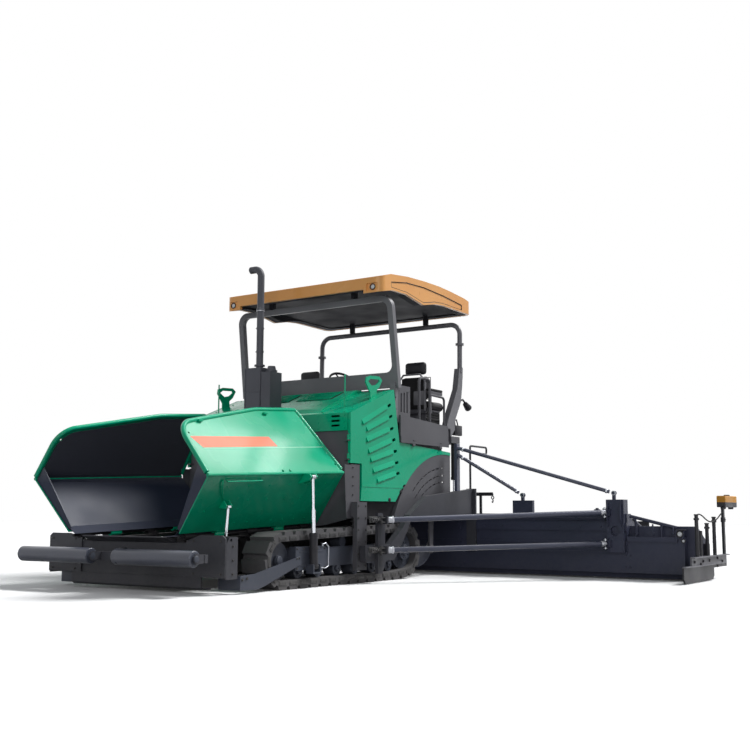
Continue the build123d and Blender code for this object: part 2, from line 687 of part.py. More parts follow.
# Grey wall behind the hopper, with the conveyor opening
def bulkhead():
    side = DECK_HALF + 60
    half = [(0, 900), (700, 900), (700, 640), (900, 660), (side, 740), (side, 1360), (BODY_SIDE + 3, 1360),
            (BODY_SIDE + 3, HOOD_BASE), (0, HOOD_BASE)]
    wall = both_sides(front_plate(half, WALL_Y - PLATE, WALL_Y))
    flange = side_plate([(WALL_Y, 740), (WALL_Y, 1360), (-330, 1360), (-330, 740)], side - PLATE, side)
    # Shield that closes the gap behind the folded wing; its edge follows the wing's swing
    flange += side_plate([(WALL_Y, 740), (-594, 740), (-632, 1250), (-632, 1350), (WALL_Y, 1350)], side - PLATE, side)
    shelf = block(PLATE - side, side - PLATE, WALL_Y, DECK_FRONT, 900, 912)
    wall += both_sides(flange) + shelf
    for z in DOOR_HINGES:
        lug = block(DECK_HALF - 10, BODY_SIDE + 3, DOOR_PIN[1] - 12, WALL_Y - PLATE, z - 14, z)
        lug += block(DECK_HALF - 10, DOOR_PIN[0] + 10, DOOR_PIN[1] - 12, DOOR_PIN[1] + 12, z - 14, z)
        lug += bar((DOOR_PIN[0], DOOR_PIN[1], z - 5), (DOOR_PIN[0], DOOR_PIN[1], z + 70), 7)
        wall += both_sides(lug)
    return wall


parts["bulkhead"] = bulkhead()

parts["engine_block"] = block(-560, 640, -300, 380, DECK_TOP, 1880)


# Top line of the hood's raised middle, y and z
HUMP = [(-450, HOOD_LOW + 20), (-380, HOOD_LOW + 82), (330, 2330), (HOOD_REAR, 2340)]
# Lifting plate on each shoulder, y and z, and the hole in it
HOOK = [(0, 2155), (0, 2240), (-100, 2360), (-90, 2420), (0, 2450), (200, 2460), (260, 2420), (200, 2330),
        (135, 2280), (140, 2206)]
HOOK_HOLE = [(-50, 2375), (0, 2410), (190, 2420), (200, 2400), (130, 2350), (30, 2330)]
HOOK_X = DECK_HALF - 20


# Hood: folded plate over the engine with a raised middle, open at the sides behind the doors
def hood():
    t = PLATE
    skin = side_plate([(HOOD_FRONT, HOOD_BASE + 2), (HOOD_FRONT, HOOD_LOW), (400, HOOD_HIGH), (HOOD_REAR, HOOD_HIGH),
                       (HOOD_REAR, DECK_TOP), (HOOD_REAR - t, DECK_TOP), (HOOD_REAR - t, HOOD_HIGH - t),
                       (400, HOOD_HIGH - t), (HOOD_FRONT + t, HOOD_LOW - t), (HOOD_FRONT + t, HOOD_BASE + 2)],
                      -BODY_SIDE, BODY_SIDE)
    hump = side_plate(HUMP + [(HOOD_REAR, HOOD_HIGH - 2), (400, HOOD_HIGH - 2)], -760, 760)
    body = skin + hump
    # Three cooling slots at the front corner
    for i in range(3):
        z = 1800 + i * 55
        body -= block(DECK_HALF - 210, DECK_HALF - 90, HOOD_FRONT - 5, HOOD_FRONT + t + 5, z, z + 24)
    hook = side_plate(HOOK, HOOK_X - 8, HOOK_X + 8) - side_plate(HOOK_HOLE, HOOK_X - 9, HOOK_X + 9)
    sight_rod = bar((DECK_HALF - 200, -270, 2040), (DECK_HALF - 200, -270, 2450), 9)
    return body + both_sides(hook + sight_rod)


parts["hood"] = hood()


# Side doors with stamped louvres: lower front end and upper rear end of each, y and z
LOUVRES = [((-290, 1850), (325, 2120)), ((-200, 1775), (360, 1985)), ((-200, 1650), (385, 1835)),
           ((-158, 1517), (430, 1700)), ((-112, 1418), (466, 1560)), ((-60, 1290), (500, 1421)),
           ((30, 1178), (528, 1291))]
LOUVRE = [(0, -46), (17, 8), (17, 17), (0, 26)]
DOOR = [(-535, 1958), (400, 2312), (631, 1154), (438, 939), (-320, 939), (-300, 1112), (-300, 1372), (-535, 1372)]


def door():
    panel = side_plate(DOOR, DOOR_IN, DOOR_OUT)
    inner = side_plate([(-505, 1940), (385, 2275), (600, 1165), (420, 970), (-290, 970), (-270, 1112), (-270, 1402),
                        (-505, 1402)], DOOR_IN - 1, DOOR_OUT - PLATE)
    panel -= inner
    for z in DOOR_HINGES:
        x, y = DOOR_PIN
        panel += bar((x, y, z + RUN_GAP), (x, y, z + 60), 14)
        panel += block(x - 10, x + 12, y, DOOR[0][0] + 5, z + RUN_GAP, z + 60)
        panel -= bar((x, y, z - 5), (x, y, z + 65), 7 + RUN_GAP)
    for low, high in LOUVRES:
        a = Vector(DOOR_OUT - 0.5, *low)
        b = Vector(DOOR_OUT - 0.5, *high)
        run = (b - a).normalized()
        lip = make_face(Polyline(*LOUVRE, close=True))
        panel += extrude(Plane(origin=a, x_dir=(1, 0, 0), z_dir=run) * lip, amount=(b - a).length - 92)
        # Oval hole behind the louvre's upper end
        hole = b - run * 34
        angle = math.degrees(math.atan2(run.Z, run.Y))
        slot = Pos(hole.Y, hole.Z) * Rot(0, 0, angle) * SlotOverall(84, 36)
        panel -= extrude(Plane.YZ.offset(DOOR_OUT - PLATE - 1) * slot, amount=PLATE + 20)
    # Crease across the lower part
    panel += block(DOOR_OUT - 0.5, DOOR_OUT + 4, -290, 618, 1104, 1114)
    return panel


add_pair("louvre_door", door())


def hump_z(y):
    # Height of the raised hood just above its slope.
    rise = (HUMP[2][1] - HUMP[1][1]) / (HUMP[2][0] - HUMP[1][0])
    return HUMP[1][1] + (y - HUMP[1][0]) * rise + RUN_GAP


def hump_box(front, rear, top, x0, x1):
    # Box that stands on the raised hood
    low = HUMP[1][1] - 17
    outline = [(front, low), (HUMP[1][0], HUMP[1][1] + RUN_GAP), (rear, hump_z(rear)), (rear, top), (front, top)]
    return side_plate(outline, x0, x1)


# Exhaust stack with its bent tip, and the air intake beside it
EXHAUST_TOP = 2608


def exhaust():
    x, y = -320, -276
    top = STACK_TOP - 45
    stack = pipe([(x, y, EXHAUST_TOP - 120), (x, y, top), (x - 170, y, top)], 100, 45)
    stack += bar((x, y, EXHAUST_TOP - 190), (x, y, EXHAUST_TOP + 12), 62)
    stack += bar((x, y, STACK_TOP - 590), (x, y, STACK_TOP - 565), 52)
    return stack + hump_box(-400, -160, EXHAUST_TOP, -460, -195)


def air_intake():
    body = hump_box(-400, -170, EXHAUST_TOP - 60, -189, -45)
    dome = extrude(Plane.XY.offset(EXHAUST_TOP - 61) * (Pos(-117, -285) * Circle(66)), amount=80, taper=14)
    return body + dome


parts["exhaust"] = exhaust()
parts["air_intake"] = air_intake()


def arch_face(radius, low, rear, front=None):
    # Part of the side view inside the arch circle and above the low line.
    circle = Pos(ARCH_Y, ARCH_Z) * Circle(radius)
    y0 = ARCH_Y - radius if front is None else front
    window = Pos((y0 + rear) / 2, (low + ARCH_Z + radius) / 2) * Rectangle(rear - y0, ARCH_Z + radius - low)
    return circle & window


def fender():
    rear = PLATFORM_REAR + 8
    outline = make_face(Polyline((545, 1673), (rear, 1606), (rear, 1400), (900, 1150), (655, 1150), close=True))
    face = outline - (Pos(ARCH_Y, ARCH_Z) * Circle(ARCH_R + RUN_GAP))
    inner = BODY_HALF + RUN_GAP
    return extrude(Plane.YZ.offset(inner) * face, amount=DECK_HALF + 55 - inner)


def arch():
    face = arch_face(ARCH_R, 750, PLATFORM_REAR + 8)
    for radius, first, last, count in ((1190, 94, 131, 8), (1090, 94, 132, 8), (1005, 94, 137, 8)):
        for i in range(count):
            a = first + (last - first) * i / (count - 1)
            p = ray(a, radius, (ARCH_Y, ARCH_Z))
            face -= Pos(p[0], p[1]) * Rot(0, 0, a + 90) * SlotOverall(80, 16)
    panel = extrude(Plane.YZ.offset(DECK_HALF + 38) * face, amount=PLATE)
    rim = arch_face(ARCH_R, 750, PLATFORM_REAR + 8) - arch_face(ARCH_R - PLATE, 700, PLATFORM_REAR + 10)
    return panel + extrude(Plane.YZ.offset(DECK_HALF + RUN_GAP) * rim, amount=40)


parts["fenders"] = both_sides(fender())
parts["arches"] = both_sides(arch())


# Operator platform: body below, floor, side walls, guard rails and the cowl in front
def platform():
    f, r = PLATFORM_FRONT, PLATFORM_REAR
    h = PLATFORM_HALF
    body = block(-BODY_HALF, BODY_HALF, HOOD_REAR + RUN_GAP, DECK_REAR, DECK_TOP + RUN_GAP, PLATFORM_LOW)
    deck = block(-h, h, f, r, PLATFORM_FLOOR - PLATE, PLATFORM_FLOOR)
    side = side_plate([(f, PLATFORM_LOW), (f, PLATFORM_TOP + 14), (r - 85, PLATFORM_TOP - 49), (r - 65, 1930),
                       (r - 65, PLATFORM_LOW)], h - 25, h)
    # Folded lip under the side panel
    side += block(h - 10, h + 8, f, r - 65, 1670, 1750)
    floor = block(-h, h, f, r, PLATFORM_LOW, PLATFORM_LOW + PLATE)
    rear = block(-h, h, r - PLATE, r, PLATFORM_LOW, PLATFORM_FLOOR)
    cowl = block(-h + 60, h - 60, f, f + 30, PLATFORM_LOW, 2345)
    cheek = block(h - 95, h - 70, f + 30, f + 340, PLATFORM_FLOOR, 2345)
    cheek += block(h - 95, h - 70, f + 50, f + 340, 2340, 2400)
    for i in range(3):
        cheek -= block(h - 100, h - 60, f + 110 + 70 * i, f + 138 + 70 * i, 2060, 2300 + i * 15)
    rail = pipe([(RAIL_X, 1130, PLATFORM_FLOOR - 5), (RAIL_X, 1130, 2550), (RAIL_X, 1400, 2550),
                 (RAIL_X, 1400, PLATFORM_FLOOR - 5)], 60, 17)
    rail += pipe([(RAIL_X, 1400, 2350), (RAIL_X, 1780, 2340), (RAIL_X, 1780, PLATFORM_FLOOR - 5)], 50, 15)
    return body + deck + floor + rear + cowl + both_sides(side + cheek + rail)


parts["platform"] = platform()


# Console and seats
def console():
    desk = side_plate([(760, PLATFORM_FLOOR), (760, 2440), (900, 2500), (1080, 2420), (1040, 2330), (980, 2300),
                       (980, PLATFORM_FLOOR)], -330, 330)
    return desk + block(-200, 200, 700, 770, PLATFORM_FLOOR, 2050)


parts["console"] = console()

SEAT_X = DECK_HALF - 310
SEAT_Y = 1550
SEAT_Z = PLATFORM_FLOOR + 220


def seat_frame():
    x, y, z = SEAT_X, SEAT_Y, SEAT_Z
    base = block(x - 180, x + 180, y - 40, y + 330, PLATFORM_FLOOR, z)
    back = block(x - 200, x + 200, y - 80, y - 55, z - 30, z + 380)
    shape = base + back + block(x - 200, x + 200, y - 80, y + 300, z, z + 20)
    for left in (x - 265, x + 235):
        shape += block(left, left + 30, y - 70, y - 30, z - 30, z + 220)
        shape += block(left - 15, left + 45, y - 70, y + 230, z + 220, z + 260)
    return shape + block(x - 265, x + 265, y - 70, y - 55, z, z + 40)


def seat_pads():
    x, y, z = SEAT_X, SEAT_Y, SEAT_Z
    cushion = block(x - 220, x + 220, y - 20, y + 430, z + 20 + RUN_GAP, z + 140)
    back = block(x - 215, x + 215, y - 55 + RUN_GAP, y + 60, z + 150, z + 480)
    head = block(x - 170, x + 170, y - 50, y + 60, z + 490, z + 680)
    neck = block(x - 60, x + 60, y - 30, y + 10, z + 475, z + 495)
    return fillet(cushion.edges(), 30) + fillet(back.edges(), 30) + fillet(head.edges(), 30) + neck


parts["seat_frames"] = both_sides(seat_frame())
parts["seat_pads"] = both_sides(seat_pads())


# Roll frames
HOOP_TILT = 7.6
HOOP_TOP = 3520
HOOP_REAR_Y = 2250
HOOP_REAR_TOP = 3460
HOOP_FOOT = (590, 2360)


def front_hoop():
    # Flat portal in a plane that leans back at the foot
    low, high = PLATFORM_HALF - 8, PLATFORM_HALF - 20
    leg = 75
    y, z = HOOP_FOOT
    top = (HOOP_TOP - z) / math.cos(math.radians(HOOP_TILT))
    face = make_face(Polyline((-low, 0), (low, 0), (high, top), (-high, top), close=True))
    face = fillet([v for v in face.vertices() if v.Y > 600], 165)
    inner_top = top - leg
    hole = make_face(Polyline((leg - low, 200), (low - leg, 200), (high - leg, inner_top), (leg - high, inner_top),
                              close=True))
    hole = fillet(hole.vertices(), 95)
    tilt = math.radians(HOOP_TILT)
    lean = Plane(origin=(0, y, z), x_dir=(1, 0, 0), z_dir=(0, -math.cos(tilt), -math.sin(tilt)))
    portal = extrude(lean * (face - hole), amount=70)
    foot = side_plate([(PLATFORM_FRONT - 62, PLATFORM_LOW + 20), (PLATFORM_FRONT - 62, 2420),
                       (PLATFORM_FRONT - 2, 2420), (PLATFORM_FRONT - 2, PLATFORM_LOW + 20)],
                      BODY_HALF, BODY_SIDE + 3)
    return portal + both_sides(foot)


def rear_hoop():
    y = HOOP_REAR_Y
    x = DECK_HALF - 13
    z = HOOP_REAR_TOP - 34
    top = pipe([(-x, y - 10, 2740), (-x, y, z), (x, y, z), (x, y - 10, 2740)], 150, 34)
    arm = side_plate([(PLATFORM_REAR + RUN_GAP, 1840), (PLATFORM_REAR + RUN_GAP, 1960), (1860, 2037), (2130, 2500),
                      (2190, 2790), (2290, 2790), (2270, 2560), (2230, 2330), (2050, 2040), (2050, 1930),
                      (1960, 1840)], DECK_HALF - 70, DECK_HALF + 10)
    flange = bar((x, y - 6, 3120), (x, y - 6, 3150), 58)
    return top + both_sides(arm + flange)


parts["front_hoop"] = front_hoop()
parts["rear_hoop"] = rear_hoop()


def canopy_roof():
    roof = side_plate(ROOF_TOP + ROOF_EDGE, -ROOF_HALF, ROOF_HALF)
    roof = fillet(roof.edges().filter_by(Axis.Z), 110)
    w = ROOF_WALL
    inner = block(w - ROOF_HALF, ROOF_HALF - w, ROOF_FRONT + w, ROOF_REAR - w, 3400, 3640)
    inner = fillet(inner.edges().filter_by(Axis.Z), 80)
    roof -= inner
    roof -= block(-1000, 1000, ROOF_FRONT - 10, ROOF_FRONT + w + 10, 3400, FASCIA_LOW)
    x0, x1, z0, z1 = LAMP_BAY
    bays = block(x0, x1, ROOF_FRONT - 10, ROOF_FRONT + 16, z0, z1)
    return roof - both_sides(bays + side_plate(ROOF_PANEL, ROOF_HALF - 8, ROOF_HALF + 5))


def canopy_lining():
    # Tray inside the shell: its rim hangs down beside the shell's wall, its middle is recessed
    w = ROOF_WALL + 1
    f, r = ROOF_FRONT + w, ROOF_REAR - w
    top = 3640 - RUN_GAP
    edge = [(y, z + 5) for y, z in ROOF_EDGE[1:-1]]
    outline = [(f, top), (r, top), (r, ROOF_EDGE[0][1] + 5)] + edge + [(f, 3520)]
    tray = side_plate(outline, w - ROOF_HALF, ROOF_HALF - w)
    tray = fillet(tray.edges().filter_by(Axis.Z), 78)
    recess = block(150 - ROOF_HALF, ROOF_HALF - 150, f + 100, r - 90, 3400, ROOF_CEILING)
    tray -= fillet(recess.edges().filter_by(Axis.Z), 60)
    tray -= block(-1000, 1000, f - 10, f + 130, 3400, FASCIA_LOW + 6)
    # Pads on both hoops
    y0 = HOOP_FOOT[0] - (HOOP_TOP - HOOP_FOOT[1]) * math.tan(math.radians(HOOP_TILT)) - 68
    pads = block(640, 700, y0, y0 + 64, HOOP_TOP + RUN_GAP, ROOF_CEILING + 2)
    pads += block(600, 670, HOOP_REAR_Y - 20, HOOP_REAR_Y + 20, HOOP_REAR_TOP + RUN_GAP, ROOF_CEILING + 2)
    return tray + both_sides(pads)


parts["canopy_roof"] = canopy_roof()
parts["canopy_lining"] = canopy_lining()


# Augers and their hangers
def auger():
    # Shaft with one continuous flight wound round it
    length = AUGER_OUT - AUGER_IN
    shaft = cross_bar(AUGER_CASE + RUN_GAP, AUGER_SHIELD - RUN_GAP, AUGER_Y, AUGER_Z, AUGER_SHAFT)
    blade = Pos(0, (AUGER_R + AUGER_SHAFT - 10) / 2) * Rectangle(FLIGHT, AUGER_R - AUGER_SHAFT + 10)
    section = (Plane.YZ * blade).faces()[0]
    flight = Solid.extrude_linear_with_rotation(section, center=(0, 0, 0), normal=(length, 0, 0),
                                                angle=360 * length / AUGER_PITCH)
    return shaft + Pos(AUGER_IN, AUGER_Y, AUGER_Z) * flight


def auger_mounts():
    c = AUGER_CASE
    s = AUGER_SHIELD
    case = block(-c, c, AUGER_Y - 80, AUGER_Y + 80, AUGER_Z - 110, DECK_TOP - PLATE)
    bearing = cross_bar(s, s + 18, AUGER_Y, AUGER_Z, 62)
    hanger = side_plate([(AUGER_Y - 40, AUGER_Z), (AUGER_Y - 55, DECK_BOTTOM), (AUGER_Y + 55, DECK_BOTTOM),
                         (AUGER_Y + 40, AUGER_Z)], s, s + 18)
    tie = block(DECK_HALF - 40, s + 18, AUGER_Y - 90, AUGER_Y + 90, DECK_BOTTOM - 22, DECK_BOTTOM)
    return case + both_sides(bearing + hanger + tie)


add_pair("auger", auger())
parts["auger_mounts"] = auger_mounts()


# Tow arms: low at the tow point, then up and over the auger
ARM_END = SCREED_FRONT - 30
ARM = [(-470, 250), (150, 250), (420, 560), (560, 760), (ARM_END, 760), (ARM_END, 1125), (920, 1012), (500, 780),
       (330, 620), (60, 430), (-470, 430)]


def tow_arm():
    plate = side_plate(ARM, ARM_IN, ARM_OUT)
    plate -= cross_bar(ARM_IN - 5, ARM_OUT + 5, TOW_Y, TOW_Z, 35 + RUN_GAP)
    bracket = side_plate([(-270, 110), (-270, 800), (-180, 800), (-120, 700), (-120, 200), (-180, 110)], ARM_OUT,
                         ARM_OUT + 40)
    for z in (BRACE_LOW[1], BRACE_HIGH[1]):
        bracket += block(ARM_OUT + 40, ARM_OUT + 130, BRACE_Y - 30, BRACE_Y, z - 45, z + 45)
    # Lug that takes the lift cylinder's rod
    y, z = LIFT["eye"]
    lug = cross_bar(LIFT["x"] + 33, ARM_IN, y, z, 40)
    flange = block(ARM_IN - 20, ARM_OUT + 40, ARM_END, SCREED_FRONT - RUN_GAP, 300, 1130)
    return plate + bracket + lug + flange


def tow_post():
    # Guide on the tractor that carries the tow point
    x = HALF_WIDTH + 10
    post = block(x, x + 60, -500, -300, 150, 925)
    post += block(DECK_HALF + 60, x + 1, -500, -330, 760, 925)
    post += cross_bar(x + 60, ARM_OUT - 2, TOW_Y, TOW_Z, 35)
    return post


parts["tow_arms"] = both_sides(tow_arm())
parts["bulkhead"] += both_sides(tow_post())


# Screed: a main box between two lengths of bolted extension
def screed_section(top, depth):
    f = SCREED_FRONT
    return [(f, SCREED_CLEAR + 60), (f, top), (f + 140, top), (f + 170, top - 60), (f + depth, top - 200),
            (f + depth, SCREED_CLEAR + 30), (f + depth - 30, SCREED_CLEAR), (f + 60, SCREED_CLEAR),
            (f + 40, SCREED_CLEAR + 60)]


def front_ribs(x0, x1, levels):
    ribs = [block(x0, x1, SCREED_FRONT - depth, SCREED_FRONT + 1, z, z + height) for z, height, depth in levels]
    return sum(ribs[1:], ribs[0])


RIBS = [(590, 100, 26), (310, 26, 18), (430, 26, 18)]


def screed_main():
    body = side_plate(screed_section(MAIN_TOP, SCREED_DEPTH), -MAIN_HALF, MAIN_HALF)
    return body + front_ribs(-MAIN_HALF, MAIN_HALF, RIBS)


def screed_extension():
    f = SCREED_FRONT
    inner = side_plate(screed_section(MAIN_TOP, SCREED_DEPTH), MAIN_HALF, INNER_EXT)
    inner += front_ribs(ARM_OUT + 45, INNER_EXT, RIBS)
    # Outer extension: a low box in front of a higher one
    low, high, step = OUTER_TOP
    outer = side_plate([(f, SCREED_CLEAR + 60), (f, low), (f + step + 5, low), (f + step + 5, SCREED_CLEAR),
                        (f + 60, SCREED_CLEAR), (f + 40, SCREED_CLEAR + 60)], INNER_EXT, OUTER_FRONT)
    outer += side_plate([(f + step, SCREED_CLEAR), (f + step, high), (f + step + 90, high),
                         (f + SCREED_DEPTH, high - 190), (f + SCREED_DEPTH, SCREED_CLEAR + 30),
                         (f + SCREED_DEPTH - 30, SCREED_CLEAR)], INNER_EXT, OUTER_EXT)
    outer += block(INNER_EXT, OUTER_FRONT - 80, f - 20, f + 1, low - 60, low)
    # Lamp housing at the outer end, and the tube above the step with its pins
    outer += block(OUTER_FRONT - 100, OUTER_FRONT - 15, f - 30, f + 60, 505, 600)
    outer += bar((INNER_EXT + 24, f + 50, MAIN_TOP - 30), (OUTER_FRONT - 100, f + 50, 632), 21)
    for x in (INNER_EXT + 90, INNER_EXT + 412):
        outer += bar((x, f + 50, low - 5), (x, f + 50, MAIN_TOP - 30 - (x - INNER_EXT) * 0.22), 13)
    # Brackets for the tie rods and the brace tubes
    post = block(TIE_EYES[1][0] - 135, TIE_EYES[1][0] + 150, f + 1, f + 60, MAIN_TOP - 5, 970)
    post2 = block(BRACKET_X, BRACKET_X + 227, f - 60, f, 327, 975)
    post2 += block(BRACKET_X, BRACKET_X + 227, f - 1, f + 90, MAIN_TOP - 5, 975)
    post2 -= bar((BRACKET_X + 113, f - 70, 590), (BRACKET_X + 113, f - 10, 590), 62)
    for x in (BRACKET_X + 22, BRACKET_X + 189):
        post2 += side_plate([(f - 59, 640), (f - 59, 960), (f - 110, 860), (f - 110, 740)], x, x + 16)
    for x, z in TIE_EYES:
        inner += block(x - 18, x + 18, f + 10, f + 50, z - 100, z)
        inner += bar((x, f + 5, z), (x, f + 55, z), EYE_R)
    for z in (BRACE_LOW[0], BRACE_HIGH[0]):
        inner += block(BRACE_END - 60, BRACE_END + 35, f - 90, f - 59, z - 40, z + 40)
    return inner + outer + post + post2


parts["screed_main"] = screed_main()
add_pair("screed_extension", screed_extension())


def end_plate():
    x0 = END_PLATE_X
    x1 = x0 + END_PLATE_T
    plate = side_plate([(1500, 60), (1550, 10), (2650, 10), (2700, 60), (2700, 150), (3270, 150), (3270, 300),
                        (1810, 300), (1810, 200), (1500, 200)], x0, x1)
    lips = block(x1 - 1, x1 + 40, 1810, 3270, 288, 300) + block(x1 - 1, x1 + 25, 1510, 2690, 188, 200)
    holder = block(OUTER_EXT, x0, 2270, 2330, 120, 600) + block(OUTER_EXT, x0, 2560, 2620, 120, 440)
    shape = plate + lips + holder
    # Bolt holes for an edge former or a sensor bracket
    for y in (BOLTS["y"] - BOLTS["dy"] / 2, BOLTS["y"] + BOLTS["dy"] / 2):
        for z in (BOLTS["z"] - BOLTS["dz"] / 2, BOLTS["z"] + BOLTS["dz"] / 2):
            shape -= cross_bar(x0 - 5, x1 + 5, y, z, BOLTS["r"])
    for y, top in ((2000, 788), (2415, 683), (2720, 758)):
        shape += bar((x1 + 10, y, 289), (x1 + 10, y, top), 22)
        shape += bar((x1 + 10, y, top - 60), (x1 + 10, y, top - 35), 32)
    mast = block(x1 + 2, x1 + 32, 3085, 3140, 289, 900)
    box = block(x0 - 20, x0 + 90, 3050, 3600, 886, 1030)
    return shape + mast + fillet(box.edges(), 12)


add_pair("end_plate", end_plate())


# Stays: two brace tubes and two tie rods on each side
def stays():
    # Mast on the tow arm that holds the tie rods; its foot follows the arm's top
    slope = (ARM[5][1] - ARM[6][1]) / (ARM[5][0] - ARM[6][0])
    foot = [(y, ARM[6][1] + (y - ARM[6][0]) * slope + RUN_GAP) for y in (MAST_Y, MAST_Y + 80)]
    shape = side_plate(foot + [(MAST_Y + 80, MAST_TOP), (MAST_Y, MAST_TOP)], ARM_IN + 10, ARM_IN + 50)
    for rear, front in (BRACE_LOW, BRACE_HIGH):
        start = (ARM_OUT + 72, BRACE_Y, front)
        end = (BRACE_END, SCREED_FRONT - 90, rear)
        shape += cut_bar(start, end, BRACE_R, 26, 26)
    for (x, z), top in zip(TIE_EYES, (MAST_TOP - 55, MAST_TOP - 145)):
        shape += cut_bar((ARM_IN + 45, MAST_Y + 40, top), (x, SCREED_FRONT + 30, z), TIE_R, 0, EYE_R + 34)
    return shape


parts["screed_stays"] = both_sides(stays())

# Handrail post on the screed, x and y
HANDRAIL = (DECK_HALF, 2500)


# Walkway behind the screed, with its rails
def walkway():
    rear = SCREED_FRONT + SCREED_DEPTH
    half = INNER_EXT - 250
    deck = block(-half, half, rear, REAR_END, 560, 590)
    toe = block(-half, half, REAR_END - 12, REAR_END, 590, 700)
    shape = deck + toe
    count = 6
    for i in range(count):
        x = -half + 50 + i * (2 * half - 100) / (count - 1)
        shape += side_plate([(rear, 300), (rear, 560), (REAR_END - 60, 560)], x - 8, x + 8)
    # Handrail: one post on the screed with a flag of tube to the rear
    x, y = HANDRAIL
    slope = -140 / (SCREED_DEPTH - 170)
    foot = [(v, MAIN_TOP - 60 + (v - SCREED_FRONT - 170) * slope + RUN_GAP) for v in (y - 30, y + 30)]
    rail = side_plate(foot + [(y + 30, 700), (y - 30, 700)], x - 30, x + 30)
    rail += bar((x, y, 695), (x, y, 1650), 15)
    rail += pipe([(x, y, 1640), (x, y, 1735), (x, y + 490, 1735), (x, y + 490, 1640), (x, y, 1640)], 30, 14)
    # Hoist beam on its own stand
    stand = block(x - 15, x + 15, rear + 80, rear + 110, 589, 1050)
    beam = block(x - 125, x + 185, rear + 75, rear + 115, 1045, 1094)
    return shape + both_sides(rail + stand + beam)


parts["walkway"] = walkway()


# Lift cylinders between the rear corners and the tow arms
def lift_cylinder():
    v = LIFT
    top = Vector(v["x"], *v["top"])
    eye = Vector(v["x"], *v["eye"])
    across = Vector(1, 0, 0)
    barrel = barrel_piece(top, eye, across, v["barrel"], v["barrel_r"], v["rod_r"], 34)
    return barrel, rod_piece(top, eye, across, v["barrel"] - 60, v["rod_r"], 28, 24)


barrel, rod = lift_cylinder()
add_pair("lift_barrel", barrel)
add_pair("lift_rod", rod)

# Brackets on the platform's rear corner that hold the lift cylinders
y, z = LIFT["top"]
ear = LIFT["barrel_r"] + EAR_GAP
bracket = cross_bar(LIFT["x"] - ear, LIFT["x"] + ear, y, z, FOOT_PIN)
for x in (LIFT["x"] - ear - EAR, LIFT["x"] + ear):
    bracket += block(x, x + EAR, PLATFORM_REAR - 20, y + 40, z - 45, z + 45)
parts["platform"] += both_sides(bracket)

os.makedirs("parts", exist_ok=True)
origin_shift = Pos(0, -(FRONT_END + REAR_END) / 2, 0)
for name, shape in parts.items():
    export_step(origin_shift * shape, "parts/" + name + ".step")
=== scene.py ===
"""The looks of a tracked asphalt paver: camera, studio, finishes and the small fittings on its frame."""
import math
import bmesh
import bpy
from mathutils import Matrix, Vector


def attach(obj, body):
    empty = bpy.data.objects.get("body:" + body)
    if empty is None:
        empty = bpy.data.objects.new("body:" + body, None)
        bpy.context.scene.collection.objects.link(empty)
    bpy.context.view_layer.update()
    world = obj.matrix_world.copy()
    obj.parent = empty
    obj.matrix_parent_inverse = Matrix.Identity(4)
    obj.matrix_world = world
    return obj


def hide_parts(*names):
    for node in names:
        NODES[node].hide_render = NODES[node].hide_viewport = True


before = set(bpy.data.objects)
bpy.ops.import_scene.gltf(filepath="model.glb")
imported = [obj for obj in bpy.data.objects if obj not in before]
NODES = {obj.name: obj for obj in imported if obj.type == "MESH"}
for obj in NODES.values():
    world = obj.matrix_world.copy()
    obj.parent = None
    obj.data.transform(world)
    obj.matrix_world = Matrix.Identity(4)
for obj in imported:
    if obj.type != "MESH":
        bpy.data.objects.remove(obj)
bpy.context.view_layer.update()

# Places below are the part's drawing millimetres. The frame has metres and its origin at mid length.
MID_LENGTH = 282.5

# Camera of the picture: 750 x 750, principal point in the middle.
EYE = Vector((8.2032, -10.8297, 0.7954))
HEADING, PITCH, ROLL = math.radians(33.383), math.radians(7.474), math.radians(0.174)
FOCAL_PX, SENSOR = 1054.9, 36.0

# Wheels that a track runs round: y, z, radius. Then its shoes, its outer face, and its rollers' y and z
IDLER, SPROCKET = (-1760, 300), (690, 350)
WHEELS = [(*IDLER, 200), (*SPROCKET, 225), (400, 180, 80)]
SHOES, CHAIN_DEPTH = 36, 32
TRACK_OUT = 1275
ROLLERS = [(-1390 + 358 * i, 180) for i in range(6)]

# Axes: y and z of the push rollers and the augers, x and y of the exhaust stack; the hood's slope
PUSH_AXIS, AUGER_AXIS, STACK = (-3055, 361), (1270, 352), (-320, -276)
HOOD_FOOT, HOOD_RISE = (-380, 2040), 0.4085
HOOD_SLOPE = Matrix.Rotation(math.atan2(290, 710), 4, "X")

# Hopper wing: hinge line, lower panel's lean, upper panel's lean
HINGE = Vector((765, -2770, 555))
TILT = math.atan2(93, 2160)
AXIS = Vector((0, math.cos(TILT), math.sin(TILT)))
ACROSS = Vector((0, -math.sin(TILT), math.cos(TILT)))
FLOOR_ANGLE, FLOOR_WIDTH, OVERHANG = math.radians(51), 783, 130
SIDE_ANGLE = math.radians(128)
SHEET = 12

# Screed: front face, top, slope of its cover; each brace's rear and front height; each tie rod's x and z at its
# low eye and z at its high eye; the end plate's outer face, its posts' x, and the cable between two of them
SCREED_FRONT, MAIN_TOP = 2150, 800
SCREED_SLOPE = Matrix.Rotation(math.atan2(-140, 390), 4, "X")
BRACES = ((430, 375), (815, 720))
TIE_EYES = ((3400, 1057, 1660), (2150, 1041, 1570))
PLATE_FACE, POST_X = 4460, 4470
CABLE_RADIUS = 0.008
CABLE_ROUTE = ((POST_X, 2000, 770), (4474, 2030, 800), (4478, 2180, 792), (4484, 2400, 716), (4486, 2600, 700),
               (4486, 2830, 742), (4484, 2980, 800), (4480, 3084, 820))

